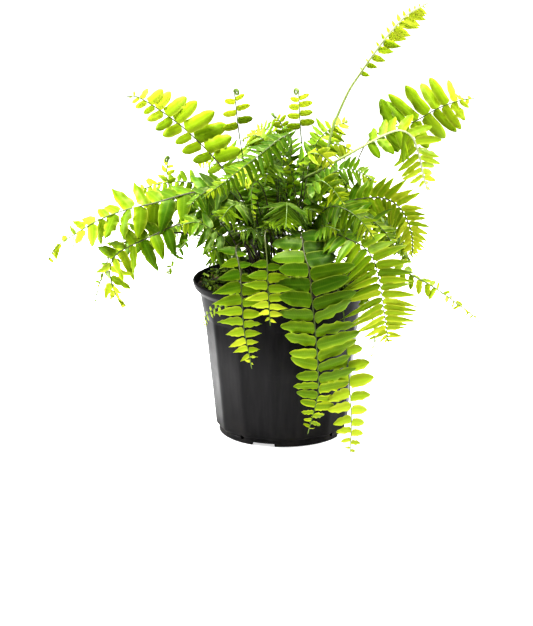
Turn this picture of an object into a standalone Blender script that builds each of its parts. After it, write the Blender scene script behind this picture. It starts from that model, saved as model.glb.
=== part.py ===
"""Potted macho fern: a young fern in a black nursery pot of about one gallon.

The origin is the centre of the pot's flat underside, +Z is up and -Y is the front. Sizes are
millimetres, turned into metres with MM. Each frond is one thin closed blade: a stalk and midrib
with leaflets cut to the rib on both sides, all one sheet given its thickness by Solidify.
"""
import math
import random

import bmesh
import bpy
from mathutils import Matrix, Vector
from mathutils.bvhtree import BVHTree

MM = 0.001
OBJECT_NAME = "potted_macho_fern"

# Pot: a turned shell with flat panels moulded into its wall.
RIM_RADIUS = 89.0
POT_HEIGHT = 157.0
BAND_HEIGHT = 6.8
NECK_RADIUS = 82.0
NECK_TOP = 144.8
PANEL_TOP = 120.0
PANEL_TOP_RADIUS = 77.8
PANEL_FOOT = 9.0
PANEL_FOOT_RADIUS = 66.2
FOOT_RADIUS = 63.2
FOOT_INNER_RADIUS = 57.5
SOLE_RADIUS = 50.5
GROOVE_HEIGHT = 2.6
WALL = 1.8
PANELS = 14
STEPS_PER_PANEL = 3
PANEL_PHASE = math.radians(-150.0)
PRESSED_FROM = 4.5
FLOOR = 2.0
LEDGE = 1.4
COLLAR_TAPER = 1.2
RIM_ROUND = 0.6
GROOVE_SLOPE = 1.0
FOOT_CHAMFER = 1.7
FOOT_BAND = 6.2
NOTCHES = 4
NOTCH_PHASE = math.radians(-108.0)
NOTCH_WIDTH = 24.0
NOTCH_HEIGHT = 3.4
DRAIN_RADIUS = 2.5
DRAIN_REACH = 54.0
DRAIN_LENGTH = 30.0
WEEP_RADIUS = 2.2
WEEP_HEIGHT = 6.2
WEEP_TURN = math.radians(-21.0)
WEEP_LENGTH = 12.0
POT_COLOUR = (0.022, 0.021, 0.022)

# Potting soil, with a low mound round the stalks.
SOIL_GAP = 0.3
SOIL_TOP = 150.8
SOIL_DROP = 0.5
SOIL_MOUND = 3.0
SOIL_MOUND_RADIUS = 36.0
SOIL_LUMP = 1.3
SOIL_STEPS = 28
SOIL_RINGS = (78.0, 58.0, 38.0, 19.0)
HOLE_RADIUS = 2.4
HOLE_SIDES = 4
HOLE_LENGTH = 30.0
STALK_FOOT = 140.0
STALK_FREE = 157.0
SOIL_COLOUR = (0.035, 0.024, 0.016)

# Fronds.
STALK_HALF_WIDTH = 1.05
TIP_HALF_WIDTH = 0.4
SHEET_THICKNESS = 2.0
RIB_WEIGHT = 0.62
TIP_WEIGHT = 0.36
LEAFLET_WEIGHT = 0.33
STALK_STEP = 44.0
SPAN_SAMPLES = 12
FOOT_PULL = 0.6
STALK_CLEARANCE = 0.35
TIP_LENGTH = 2.0
TIP_PITCH = 0.38
PITCH_POWER = 1.3
FIRST_LENGTH = 0.78
FULL_LENGTH_AT = 0.22
TAPER_FROM = 0.3
TAPER = 0.86
TAPER_POWER = 1.35
COIL_TAPER = 0.45
BROAD_AT = 0.58
SEPARATE_BROAD_AT = 0.42
LARGEST_WIDTH = 0.44
SMALLEST_HALF = 0.5
WIDTH_KEPT = 0.55
LEAFLET_SAG = 0.10
LEAFLET_BEND = 0.05
LENGTH_DRAW = (0.93, 1.06)
DROOP_DRAW = 6.0
LEAN_DRAW = 4.0
TWIST_DRAW = 7.0
TIP_LEAN = 18.0
GUARD_FROM = 0.16
LEAFLET_CLEARANCE = 0.4
NEIGHBOUR_CLEARANCE = 0.8
SMALL_LEAFLET = 12.0
FLOOR_CLEARANCE = 1.0
COIL_TURNS = 1.2
COIL_OUTER = 3.6
COIL_INNER = 1.6
COIL_STEP = math.radians(40.0)
# How far a leaflet is shortened and bent, tried in this order until it is clear of the rest.
FITS = ((1.0, 0), (1.0, 16), (1.0, -16), (0.85, 0), (0.85, 28), (0.85, -28), (0.7, 0), (0.7, 38),
        (0.7, -38), (0.55, 0), (0.55, 30), (0.55, -30), (0.42, 0), (0.3, 0))

TINTS = {
    "lime": (0.52, 0.62, 0.02),
    "bright": (0.26, 0.46, 0.015),
    "mid": (0.12, 0.30, 0.012),
    "dark": (0.045, 0.15, 0.010),
}

FRONDS = []


def frond(name, root, route, pairs, leaf, start=1, sides=(1.0, 1.0), droop=20.0, roll=(0.0, 0.0),
          lean=12.0, sway=0.0, twist=0.0, slim=1.0, late=FULL_LENGTH_AT, hold=TAPER_FROM, fill=1.0,
          coil=0.0, across=None, plain=False, tint="mid"):
    """Add one frond to the list.

    root is where the stalk leaves the soil, and route the points that the midrib passes through.
    Leaflets begin at route point start. leaf is the longest leaflet, sides its share on each side,
    droop how far leaflets hang below the blade, roll the blade's turn about the midrib from start
    to tip, lean how far leaflets point to the tip, sway how much more so on one side, twist their
    own turn, slim their width, late and hold the shares of the blade where they reach and leave
    their full length, fill the share of the rib that their roots take, coil the side to which a
    young tip is rolled up, across the level direction across the blade, and plain that leaflets
    are broad on one edge only.
    """
    FRONDS.append(dict(name="frond_" + name, root=root, route=route, pairs=pairs, leaf=leaf,
                       start=start, sides=sides, droop=droop, roll=roll, lean=lean, sway=sway,
                       twist=twist, slim=slim, late=late, hold=hold, fill=fill, coil=coil,
                       across=across, plain=plain, tint=tint))


# Front fronds, which arch over the rim and hang in front of the pot.
frond("front_centre", (9, -19), [(14, -42, 206), (18, -62, 215), (21, -86, 201), (25, -98, 189),
      (28, -108, 162), (31, -110, 133), (34, -107, 92), (34, -104, 66), (25, -99, 27)], 17, 42, start=0,
      sides=(0.7, 1.0), droop=8, lean=-12, hold=0.5, fill=0.72, tint="mid")
frond("front_right", (19, -16), [(38, -50, 178), (56, -78, 158), (61, -88, 117), (65, -92, 73),
      (67, -94, 39), (66, -96, 3)], 9, 25, start=2, droop=6, roll=(10, 10), lean=-2, fill=0.6,
      tint="lime")
frond("front_left", (-15, -22), [(-34, -44, 200), (-45, -66, 203), (-41, -86, 186), (-39, -97, 159),
      (-37, -98, 129), (-32, -97, 104), (-30, -96, 92)], 11, 27, start=1, sides=(1.0, 0.75), droop=5,
      roll=(-12, -12), lean=-4, late=0.35, hold=0.4, fill=0.72, tint="bright")
frond("front_mid_left", (-3, -24), [(-12, -54, 214), (-17, -78, 219), (-15, -95, 198), (-14, -104, 171),
      (-12, -107, 138)], 7, 24, start=2, droop=6, lean=-6, late=0.3, hold=0.4, fill=0.72, tint="bright")
frond("left_rim", (-21, -18), [(-37, -60, 186), (-42, -82, 168), (-56, -82, 151), (-68, -73, 143),
      (-76, -66, 131), (-75, -64, 115)], 9, 8, start=1, droop=10, tint="lime")
frond("right_front", (21, -9), [(35, -35, 208), (51, -50, 213), (65, -61, 210), (77, -66, 205),
      (87, -71, 194), (93, -75, 175), (97, -78, 151), (103, -79, 111)], 13, 42, start=1,
      sides=(1.0, 1.0), droop=8, lean=2, across=(1, 0.25, 0), late=0.26, hold=0.55, fill=0.72,
      tint="bright")
frond("right_low", (27, -5), [(52, -28, 186), (76, -52, 168), (86, -60, 140), (90, -62, 110),
      (87, -62, 88)], 6, 11, start=1, droop=10, plain=True, tint="lime")
frond("right_trailing", (28, 3), [(62, -14, 183), (86, -24, 176), (111, -31, 173), (125, -34, 169),
      (147, -38, 158), (165, -40, 146), (185, -40, 131), (194, -40, 122)], 12, 14, start=1, droop=18,
      roll=(36, 36), plain=True, tint="bright")
frond("right_fan", (22, 5), [(38, -2, 215), (57, -8, 234), (76, -12, 240), (96, -16, 242),
      (111, -20, 237), (120, -23, 226), (126, -26, 212), (128, -28, 197), (127, -29, 184)], 15, 28,
      start=1, droop=8, roll=(60, 78), lean=22, twist=15, slim=0.9, hold=0.4, plain=True, tint="bright")
frond("right_upper", (17, 11), [(42, 8, 215), (60, 8, 243), (72, 14, 267), (84, 21, 290),
      (102, 26, 302), (122, 30, 306), (135, 32, 311), (157, 35, 323), (179, 37, 330), (190, 38, 331)],
      8, 36, start=4, sides=(0.85, 1.0), droop=8, roll=(78, 70), lean=-10, sway=-9, hold=0.45, fill=0.6,
      tint="lime")
frond("right_arch", (10, 3), [(12, 2, 205), (12, 3, 248), (37, -4, 267), (61, -10, 282), (81, -14, 294),
      (100, -18, 305), (114, -21, 310), (126, -23, 304), (133, -25, 286), (138, -26, 264),
      (142, -27, 252)], 10, 30, start=5, droop=14, roll=(50, 50), plain=True, tint="lime")
frond("tall_thin", (12, 14), [(32, 8, 225), (43, 18, 273), (49, 24, 300), (55, 28, 316), (66, 31, 340),
      (76, 34, 355), (90, 37, 375), (107, 41, 397), (124, 44, 414), (143, 46, 425)], 12, 21, start=5,
      sides=(1.0, 0.35), droop=5, roll=(75, 70), lean=14, late=0.5, hold=0.6, fill=0.45, tint="lime")
frond("coil_left", (-13, 3), [(-26, 3, 220), (-38, 5, 275), (-43, 5, 306), (-46, 5, 335),
      (-47, 5, 343)], 3, 18, start=2, droop=0, roll=(0, 40), lean=-6, across=(1, 0, 0), coil=-1.0,
      fill=0.25, tint="bright")
frond("coil_mid", (6, 8), [(16, 8, 220), (21, 9, 265), (18, 10, 305), (16, 11, 342)], 4, 17,
      start=2, droop=0, roll=(0, 40), lean=-4, across=(1, 0, 0), coil=1.0, fill=0.4, tint="lime")
frond("coil_small", (-2, 2), [(-2, -2, 230), (2, -6, 285), (1, -6, 303), (-1, -6, 314),
      (-8, -6, 322)], 4, 11, start=2, droop=10, across=(1, 0, 0), coil=-1.0, fill=0.4, tint="lime")
frond("left_upper", (-18, 9), [(-36, 10, 226), (-55, 12, 260), (-71, 18, 279), (-94, 24, 301),
      (-111, 28, 314), (-129, 31, 326), (-144, 33, 334), (-153, 34, 334)], 11, 32, start=1,
      sides=(1.0, 0.62), droop=8, roll=(-76, -76), lean=-6, sway=20, hold=0.45, fill=0.6, tint="lime")
frond("left_long", (-20, 0), [(-36, -4, 218), (-56, -8, 246), (-86, -18, 248), (-124, -30, 240),
      (-153, -36, 234), (-178, -39, 225), (-199, -41, 213), (-220, -42, 199), (-230, -43, 183)], 12, 34,
      start=1, sides=(0.85, 1.0), droop=14, roll=(-46, -40), plain=True, tint="bright")
frond("left_bunch", (-31, -5), [(-52, -4, 203), (-78, -7, 230), (-104, -10, 237), (-128, -13, 232),
      (-147, -15, 221)], 8, 25, start=1, droop=12, roll=(-40, -40), lean=16, plain=True, tint="mid")
frond("left_low", (-25, -8), [(-50, -14, 180), (-71, -22, 202), (-90, -32, 220), (-105, -38, 219),
      (-129, -44, 209), (-148, -49, 201), (-162, -52, 193), (-168, -52, 178), (-165, -53, 160),
      (-156, -53, 139)], 10, 29, start=3, droop=15, roll=(-40, -34), plain=True, tint="bright")
frond("left_under", (-27, 1), [(-52, 0, 184), (-86, -2, 202), (-116, -8, 204), (-150, -12, 199),
      (-168, -14, 186), (-178, -15, 164), (-187, -15, 134)], 11, 17, start=1, droop=16, roll=(-36, -36),
      plain=True, tint="bright")
frond("left_droop", (-24, -13), [(-52, -30, 183), (-76, -40, 204), (-90, -45, 207), (-102, -47, 195),
      (-109, -48, 180), (-115, -48, 161)], 8, 8, start=2, droop=16, roll=(-30, -30), plain=True,
      tint="bright")
frond("left_coil", (-22, 5), [(-46, 6, 205), (-76, 6, 227), (-98, 6, 234), (-112, 6, 250),
      (-114, 6, 266), (-112, 6, 276)], 3, 12, start=3, droop=5, roll=(60, 60), across=(0, 1, 0),
      coil=1.0, fill=0.4, tint="bright")
frond("left_lime", (-28, 8), [(-48, 16, 221), (-67, 18, 240), (-90, 19, 250), (-114, 20, 250),
      (-134, 20, 245), (-148, 20, 238)], 9, 20, start=1, droop=14, roll=(-42, -42), plain=True,
      tint="lime")
frond("mid_arch", (2, -8), [(4, -13, 240), (9, -22, 290), (7, -31, 307), (-4, -38, 304),
      (-19, -46, 293), (-38, -54, 280), (-57, -60, 266), (-77, -64, 252)], 13, 20, start=2, droop=20,
      roll=(-32, -32), slim=0.85, plain=True, tint="mid")
frond("top_back", (7, 17), [(20, 18, 225), (26, 24, 262), (32, 29, 284), (46, 35, 300), (66, 41, 308)],
      8, 21, start=2, droop=14, roll=(40, 40), plain=True, tint="bright")
frond("young_mid", (12, -2), [(16, -17, 220), (12, -25, 253), (7, -29, 276), (-1, -32, 288)], 5, 10,
      start=1, droop=25, fill=0.5, tint="lime")
frond("twisted_hang", (-9, -10), [(-14, -26, 232), (-20, -42, 258), (-27, -57, 266),
      (-30, -68, 257), (-29, -74, 244), (-27, -77, 230)], 6, 9, start=2, droop=10, roll=(40, 70),
      plain=True, tint="bright")
frond("left_inner", (-17, -9), [(-38, -26, 183), (-53, -44, 203), (-68, -57, 219), (-84, -64, 228),
      (-100, -70, 226)], 8, 26, start=1, droop=18, roll=(-30, -30), twist=25, plain=True, tint="mid")

# Fronds that fill the middle of the plant.
frond("mid_right", (14, -13), [(28, -22, 212), (44, -36, 236), (60, -49, 238), (76, -58, 228),
      (88, -62, 212)], 9, 26, start=1, droop=20, roll=(30, 30), twist=30, plain=True, tint="bright")
frond("mid_front", (-4, -16), [(2, -30, 222), (4, -50, 244), (4, -68, 242), (3, -84, 228)], 8, 25,
      start=1, droop=30, twist=45, plain=True, tint="dark")
frond("mid_left", (-11, -2), [(-26, -18, 218), (-38, -34, 238), (-50, -48, 240), (-60, -58, 228)], 8,
      25, start=1, droop=20, roll=(-26, -26), twist=30, plain=True, tint="dark")
frond("top_left", (-10, 11), [(-24, 18, 228), (-38, 30, 262), (-52, 42, 276), (-70, 52, 274),
      (-86, 58, 262)], 9, 25, start=1, droop=14, roll=(-42, -42), plain=True, tint="bright")
frond("top_mid", (0, 17), [(2, 24, 236), (4, 34, 272), (-6, 44, 294), (-20, 54, 298), (-34, 62, 290)],
      9, 22, start=1, droop=14, roll=(-42, -42), plain=True, tint="bright")

frond("inner_right", (11, -9), [(19, -18, 212), (26, -27, 248), (35, -39, 264), (48, -48, 258),
      (60, -54, 242)], 7, 22, start=1, droop=20, roll=(30, 30), twist=35, plain=True, tint="mid")
frond("inner_mid", (-3, -8), [(-4, -13, 222), (-4, -21, 258), (-6, -31, 276), (-13, -43, 279),
      (-17, -54, 264)], 7, 22, start=1, droop=20, roll=(-16, -16), twist=45, plain=True, tint="dark")
frond("top_right", (12, 20), [(17, 23, 228), (25, 31, 264), (38, 39, 282), (56, 45, 284),
      (74, 49, 274)], 8, 22, start=1, droop=14, roll=(42, 42), plain=True, tint="bright")
frond("centre_tall", (-4, 9), [(-5, 12, 236), (-9, 15, 274), (-17, 17, 292), (-28, 19, 298),
      (-40, 22, 292)], 7, 18, start=1, droop=14, roll=(-46, -46), plain=True, tint="bright")
frond("left_mid", (-17, -4), [(-31, -11, 214), (-46, -23, 244), (-61, -33, 256), (-77, -41, 252),
      (-91, -46, 240)], 8, 26, start=1, droop=20, roll=(-34, -34), twist=20, plain=True, tint="dark")
frond("right_mid", (21, -2), [(40, -10, 207), (60, -21, 225), (80, -32, 227), (98, -40, 215),
      (110, -45, 197)], 8, 27, start=1, droop=18, roll=(32, 32), twist=20, plain=True, tint="bright")
frond("right_inner", (16, 6), [(30, 5, 236), (46, 4, 260), (64, 4, 267), (80, 5, 262), (94, 5, 251)], 8,
      20, start=1, droop=16, roll=(42, 42), plain=True, tint="mid")
frond("low_left", (-27, -19), [(-38, -34, 183), (-50, -50, 195), (-62, -63, 202), (-75, -71, 198)], 6,
      20, start=1, droop=18, roll=(-24, -24), twist=30, plain=True, tint="dark")

frond("low_front", (-9, -17), [(-14, -34, 190), (-22, -48, 212), (-32, -56, 220), (-44, -60, 217)], 6,
      23, start=1, droop=18, roll=(-20, -20), twist=45, plain=True, tint="dark")
frond("low_front_right", (14, -20), [(22, -32, 190), (32, -46, 212), (42, -56, 222), (54, -64, 220)], 6,
      23, start=1, droop=20, roll=(20, 20), twist=45, plain=True, tint="mid")
frond("low_mid", (3, -20), [(4, -30, 194), (1, -42, 216), (-6, -52, 226), (-16, -58, 228)], 6, 23,
      start=1, droop=20, twist=45, plain=True, tint="dark")

frond("high_mid", (4, 2), [(8, -5, 232), (14, -10, 268), (25, -15, 285), (38, -19, 285),
      (51, -22, 273)], 7, 20, start=1, droop=18, roll=(36, 36), twist=25, plain=True, tint="bright")
frond("centre_left", (-6, -1), [(-14, -8, 228), (-22, -14, 256), (-32, -23, 268), (-45, -31, 262)], 6,
      22, start=1, droop=20, roll=(-30, -30), twist=35, plain=True, tint="bright")
frond("centre_low", (2, -14), [(8, -20, 198), (14, -31, 224), (23, -41, 236), (35, -50, 234)], 6, 22,
      start=1, droop=20, roll=(24, 24), twist=45, plain=True, tint="mid")

# Fronds round the back, which the front view hides.
frond("back_centre", (-3, 24), [(-3, 40, 212), (-5, 72, 240), (-8, 108, 232), (-11, 140, 198),
      (-12, 156, 160)], 9, 30, start=1, droop=18, plain=True, tint="mid")
frond("back_right", (7, 23), [(18, 38, 222), (34, 70, 254), (48, 104, 246), (60, 132, 212),
      (66, 148, 174)], 9, 29, start=1, droop=18, plain=True, tint="bright")
frond("back_left", (-12, 20), [(-20, 36, 216), (-36, 66, 242), (-52, 98, 232), (-64, 126, 200),
      (-70, 144, 164)], 9, 29, start=1, droop=18, plain=True, tint="mid")
frond("right_back", (17, 19), [(38, 36, 206), (62, 58, 231), (88, 82, 222), (106, 100, 190),
      (114, 110, 158)], 9, 27, start=1, droop=22, plain=True, tint="bright")
frond("right_side", (25, 12), [(50, 18, 198), (80, 28, 216), (106, 38, 208), (122, 45, 186),
      (130, 50, 160)], 9, 25, start=1, droop=35, plain=True, tint="mid")
frond("left_back", (-21, 16), [(-36, 32, 202), (-54, 54, 222), (-72, 74, 216), (-84, 90, 190)],
      8, 25, start=1, droop=25, plain=True, tint="mid")
frond("left_side", (-25, 12), [(-44, 18, 198), (-68, 30, 218), (-96, 40, 212), (-118, 48, 188)],
      8, 23, start=1, droop=40, plain=True, tint="dark")
frond("low_back_right", (13, 26), [(28, 50, 184), (50, 84, 196), (68, 112, 176), (80, 130, 140)],
      9, 24, start=1, droop=18, plain=True, tint="dark")
frond("low_back", (3, 29), [(-4, 54, 180), (-14, 88, 190), (-24, 118, 166), (-28, 136, 128),
      (-30, 142, 96)], 9, 25, start=1, droop=15, plain=True, tint="mid")
frond("low_back_left", (-16, 25), [(-30, 46, 180), (-48, 74, 188), (-64, 100, 166),
      (-72, 112, 130)], 8, 23, start=1, droop=20, plain=True, tint="dark")


def material(name, colour, roughness):
    """A plain Principled material."""
    mat = bpy.data.materials.new(name)
    mat.use_nodes = True
    shader = mat.node_tree.nodes["Principled BSDF"]
    shader.inputs["Base Color"].default_value = (*colour, 1.0)
    shader.inputs["Roughness"].default_value = roughness
    shader.inputs["Metallic"].default_value = 0.0
    mat.diffuse_color = (*colour, 1.0)
    return mat


def add_object(name, bm, collection, mat=None):
    """Turn a bmesh into an object of the collection."""
    bmesh.ops.recalc_face_normals(bm, faces=bm.faces)
    mesh = bpy.data.meshes.new(name)
    bm.to_mesh(mesh)
    bm.free()
    if mat:
        mesh.materials.append(mat)
    obj = bpy.data.objects.new(name, mesh)
    collection.objects.link(obj)
    return obj


def apply_modifiers(obj):
    """Replace the object's mesh with the one its modifiers give."""
    graph = bpy.context.evaluated_depsgraph_get()
    mesh = bpy.data.meshes.new_from_object(obj.evaluated_get(graph))
    old = obj.data
    obj.modifiers.clear()
    obj.data = mesh
    mesh.name = obj.name
    bpy.data.meshes.remove(old)


def turned(name, profile, steps, phase, collection, mat=None):
    """A closed turned body: profile holds radius and height from the top pole or lip downwards."""
    bm = bmesh.new()
    points = [bm.verts.new((r * MM, 0.0, z * MM)) for r, z in profile]
    for first, second in zip(points, points[1:]):
        bm.edges.new((first, second))
    if profile[0] == profile[-1]:
        bmesh.ops.remove_doubles(bm, verts=bm.verts, dist=MM * 0.001)
    bmesh.ops.rotate(bm, verts=bm.verts, matrix=Matrix.Rotation(phase, 3, "Z"))
    obj = add_object(name, bm, collection, mat)
    screw = obj.modifiers.new("Turn", "SCREW")
    screw.steps = steps
    screw.render_steps = steps
    screw.use_merge_vertices = True
    screw.merge_threshold = 0.00001
    apply_modifiers(obj)
    return obj


def press_panels(obj):
    """Pull the wall between the panels' edges in to flat panels, from the foot to the panels' top."""
    half = math.pi / PANELS
    for vert in obj.data.vertices:
        if PRESSED_FROM <= vert.co.z / MM <= PANEL_TOP + 0.5:
            turn = (math.atan2(vert.co.y, vert.co.x) - PANEL_PHASE) % (2.0 * half)
            factor = math.cos(half) / math.cos(turn - half)
            vert.co.x *= factor
            vert.co.y *= factor


def face_out(obj):
    """Make every face of a closed body point out."""
    bm = bmesh.new()
    bm.from_mesh(obj.data)
    bmesh.ops.recalc_face_normals(bm, faces=bm.faces)
    if bm.calc_volume(signed=True) < 0.0:
        bmesh.ops.reverse_faces(bm, faces=bm.faces)
    bm.to_mesh(obj.data)
    bm.free()


def wall_inside(gap):
    """Radius and height down the pot's inner wall, from the collar's inside to the floor's edge."""
    r = RIM_RADIUS - WALL - gap
    return [(r - COLLAR_TAPER, POT_HEIGHT - BAND_HEIGHT + LEDGE),
            (NECK_RADIUS - WALL - gap, NECK_TOP + LEDGE / 2.0),
            (PANEL_TOP_RADIUS - WALL - gap, PANEL_TOP), (PANEL_FOOT_RADIUS - WALL - gap, PANEL_FOOT),
            (SOLE_RADIUS + GROOVE_SLOPE, GROOVE_HEIGHT + WALL + gap), (SOLE_RADIUS - WALL, FLOOR + gap)]


def build_pot(parts, cutters, mat):
    """The nursery pot: collar, neck, flat panels, foot ring with notches, and drain holes."""
    outside = [(SOLE_RADIUS, 0.0), (SOLE_RADIUS + GROOVE_SLOPE, GROOVE_HEIGHT),
               (FOOT_INNER_RADIUS - GROOVE_SLOPE, GROOVE_HEIGHT), (FOOT_INNER_RADIUS, 0.0),
               (FOOT_RADIUS - FOOT_CHAMFER, 0.0), (FOOT_RADIUS, FOOT_CHAMFER), (FOOT_RADIUS, FOOT_BAND),
               (PANEL_FOOT_RADIUS, PANEL_FOOT), (PANEL_TOP_RADIUS, PANEL_TOP),
               (NECK_RADIUS, NECK_TOP), (RIM_RADIUS - COLLAR_TAPER, POT_HEIGHT - BAND_HEIGHT),
               (RIM_RADIUS, POT_HEIGHT - 2.0 * RIM_ROUND), (RIM_RADIUS - RIM_ROUND, POT_HEIGHT)]
    inside = [(RIM_RADIUS - WALL, POT_HEIGHT)] + wall_inside(0.0) + [(0.0, FLOOR)]
    profile = [(0.0, 0.0)] + outside + inside
    pot = turned("pot", profile, PANELS * STEPS_PER_PANEL, PANEL_PHASE, parts, mat)
    press_panels(pot)
    face_out(pot)

    turns = [NOTCH_PHASE + index * 2.0 * math.pi / NOTCHES for index in range(NOTCHES)]
    foot = (FOOT_INNER_RADIUS + FOOT_RADIUS) / 2.0
    size = (2.0 * (FOOT_RADIUS - FOOT_INNER_RADIUS), NOTCH_WIDTH, 2.0 * NOTCH_HEIGHT)
    block = Matrix.Translation((foot * MM, 0.0, 0.0)) @ Matrix.Diagonal([s * MM for s in size] + [1.0])
    bm = bmesh.new()
    for turn in turns:
        bmesh.ops.create_cube(bm, size=1.0, matrix=Matrix.Rotation(turn, 4, "Z") @ block)
    cut(pot, add_object("notch_cutter", bm, cutters))

    bm = bmesh.new()
    for turn in turns:
        place = Matrix.Rotation(turn, 4, "Z") @ Matrix.Translation((DRAIN_REACH * MM, 0.0, 0.0))
        drill(bm, place, DRAIN_RADIUS, DRAIN_LENGTH, 8)
        place = Matrix.Rotation(turn + WEEP_TURN, 4, "Z")
        place = place @ Matrix.Translation((FOOT_RADIUS * MM, 0.0, WEEP_HEIGHT * MM))
        drill(bm, place @ Matrix.Rotation(math.pi / 2.0, 4, "Y"), WEEP_RADIUS, WEEP_LENGTH, 6)
    cut(pot, add_object("drain_cutter", bm, cutters))
    return pot


def drill(bm, place, radius, length, sides):
    """Add a round cutter, centred on a place and along its Z axis."""
    bmesh.ops.create_cone(bm, cap_ends=True, segments=sides, radius1=radius * MM,
                          radius2=radius * MM, depth=length * MM, matrix=place)


def cut(obj, cutter):
    """Cut one body out of another with a Boolean that stays on the object."""
    cutter.hide_render = True
    cutter.display_type = "WIRE"
    boolean = obj.modifiers.new("Cut_" + cutter.name, "BOOLEAN")
    boolean.operation = "DIFFERENCE"
    boolean.object = cutter


def soil_edge():
    """Radius and height down the soil's side, which starts on the collar's slope."""
    (r_high, z_high), (r_low, z_low) = wall_inside(SOIL_GAP)[:2]
    share = (SOIL_TOP - SOIL_DROP - z_low) / (z_high - z_low)
    return [(r_low + (r_high - r_low) * share, SOIL_TOP - SOIL_DROP)] + wall_inside(SOIL_GAP)[1:]


def soil_height(x, y):
    """The soil's surface: a low mound round the stalks, with lumps the size of bark chips."""
    r = math.hypot(x, y)
    mound = SOIL_MOUND * math.exp(-(r / SOIL_MOUND_RADIUS) ** 2)
    lumps = math.sin(x * 0.31 + 0.6 * math.sin(y * 0.23)) * math.cos(y * 0.27 - 0.4) \
        + 0.6 * math.sin(x * 0.13 - y * 0.17 + 1.0)
    return SOIL_TOP + mound + SOIL_LUMP * lumps * min(1.0, r / SOIL_MOUND_RADIUS)


def build_soil(parts, cutters, mat):
    """The potting soil, 0.3 mm clear of the pot, with a plain hole for each stalk."""
    shrink = math.cos(math.pi / (PANELS * STEPS_PER_PANEL))
    edge = [(r * shrink, z) for r, z in soil_edge()]
    top = [(0.0, SOIL_TOP)] + [(r, SOIL_TOP) for r in reversed(SOIL_RINGS)]
    profile = top + edge + [(0.0, FLOOR + SOIL_GAP)]
    soil = turned("soil", profile, SOIL_STEPS, PANEL_PHASE, parts, mat)
    press_panels(soil)
    for vert in soil.data.vertices:
        if vert.co.z > (SOIL_TOP - 0.1) * MM:
            vert.co.z = soil_height(vert.co.x / MM, vert.co.y / MM) * MM
    face_out(soil)

    bm = bmesh.new()
    middle = STALK_FOOT - SOIL_GAP + HOLE_LENGTH / 2.0
    for item in FRONDS:
        x, y = item["root"]
        drill(bm, Matrix.Translation((x * MM, y * MM, middle * MM)), HOLE_RADIUS, HOLE_LENGTH, HOLE_SIDES)
    cut(soil, add_object("stalk_hole_cutter", bm, cutters))
    return soil


def curve_point(before, a, b, after, t):
    """A point of the smooth curve from a to b, which also passes before and after."""
    return 0.5 * ((2.0 * a) + (b - before) * t + (2.0 * before - 5.0 * a + 4.0 * b - after) * t * t
                  + (3.0 * a - before - 3.0 * b + after) * t ** 3)


def coil_points(start, along, towards):
    """The rolled-up tip of a young frond: a spiral that winds in from the stalk's end."""
    total = COIL_TURNS * 2.0 * math.pi
    steps = int(total / COIL_STEP)
    centre = start + towards * COIL_OUTER
    points = []
    for index in range(1, steps + 1):
        turn = total * index / steps
        r = COIL_OUTER + (COIL_INNER - COIL_OUTER) * index / steps
        points.append(centre - towards * r * math.cos(turn) + along * r * math.sin(turn))
    return points


def spine(item):
    """Points along the stalk and midrib, as positions with their distance from the root."""
    x, y = item["root"]
    foot = Vector((x, y, STALK_FOOT))
    free = Vector((x, y, STALK_FREE))
    knots = [free] + [Vector(p) for p in item["route"]]
    first = free - Vector((0.0, 0.0, (knots[1] - free).length * FOOT_PULL))
    last = knots[-1] * 2.0 - knots[-2]
    padded = [first] + knots + [last]
    points = [foot, free]
    marks = [0]
    for index in range(1, len(padded) - 2):
        for sample in range(1, SPAN_SAMPLES + 1):
            points.append(curve_point(*padded[index - 1:index + 3], sample / SPAN_SAMPLES))
        marks.append(len(points) - 1)
    lengths = [0.0]
    for before, after in zip(points, points[1:]):
        lengths.append(lengths[-1] + (after - before).length)
    return points, lengths, lengths[marks[item["start"] + 1]]


def at(points, lengths, distance):
    """Position and direction at a distance along a line of points."""
    distance = min(max(distance, 0.0), lengths[-1])
    index = 1
    while index < len(lengths) - 1 and lengths[index] < distance:
        index += 1
    share = (distance - lengths[index - 1]) / (lengths[index] - lengths[index - 1])
    place = points[index - 1].lerp(points[index], share)
    low = max(index - 2, 0)
    high = min(index + 1, len(points) - 1)
    return place, (points[high] - points[low]).normalized()


def across_vector(item):
    """The level direction across the blade, to the left of the way the frond reaches out."""
    if item["across"]:
        return Vector(item["across"]).normalized()
    x, y = item["root"]
    tip = item["route"][-1]
    return Vector((-(tip[1] - y), tip[0] - x, 0.0)).normalized()


def leaflet_length(item, share):
    """Leaflet length along the blade: full near its start, then shorter to the tip."""
    first = FIRST_LENGTH * (FULL_LENGTH_AT / item["late"]) ** 0.7
    rise = first + (1.0 - first) * min(1.0, share / item["late"])
    fall = 1.0 - TAPER * max(0.0, (share - item["hold"]) / (1.0 - item["hold"])) ** TAPER_POWER
    if item["coil"]:
        fall = 1.0 - COIL_TAPER * share
    return item["leaf"] * rise * fall


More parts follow.
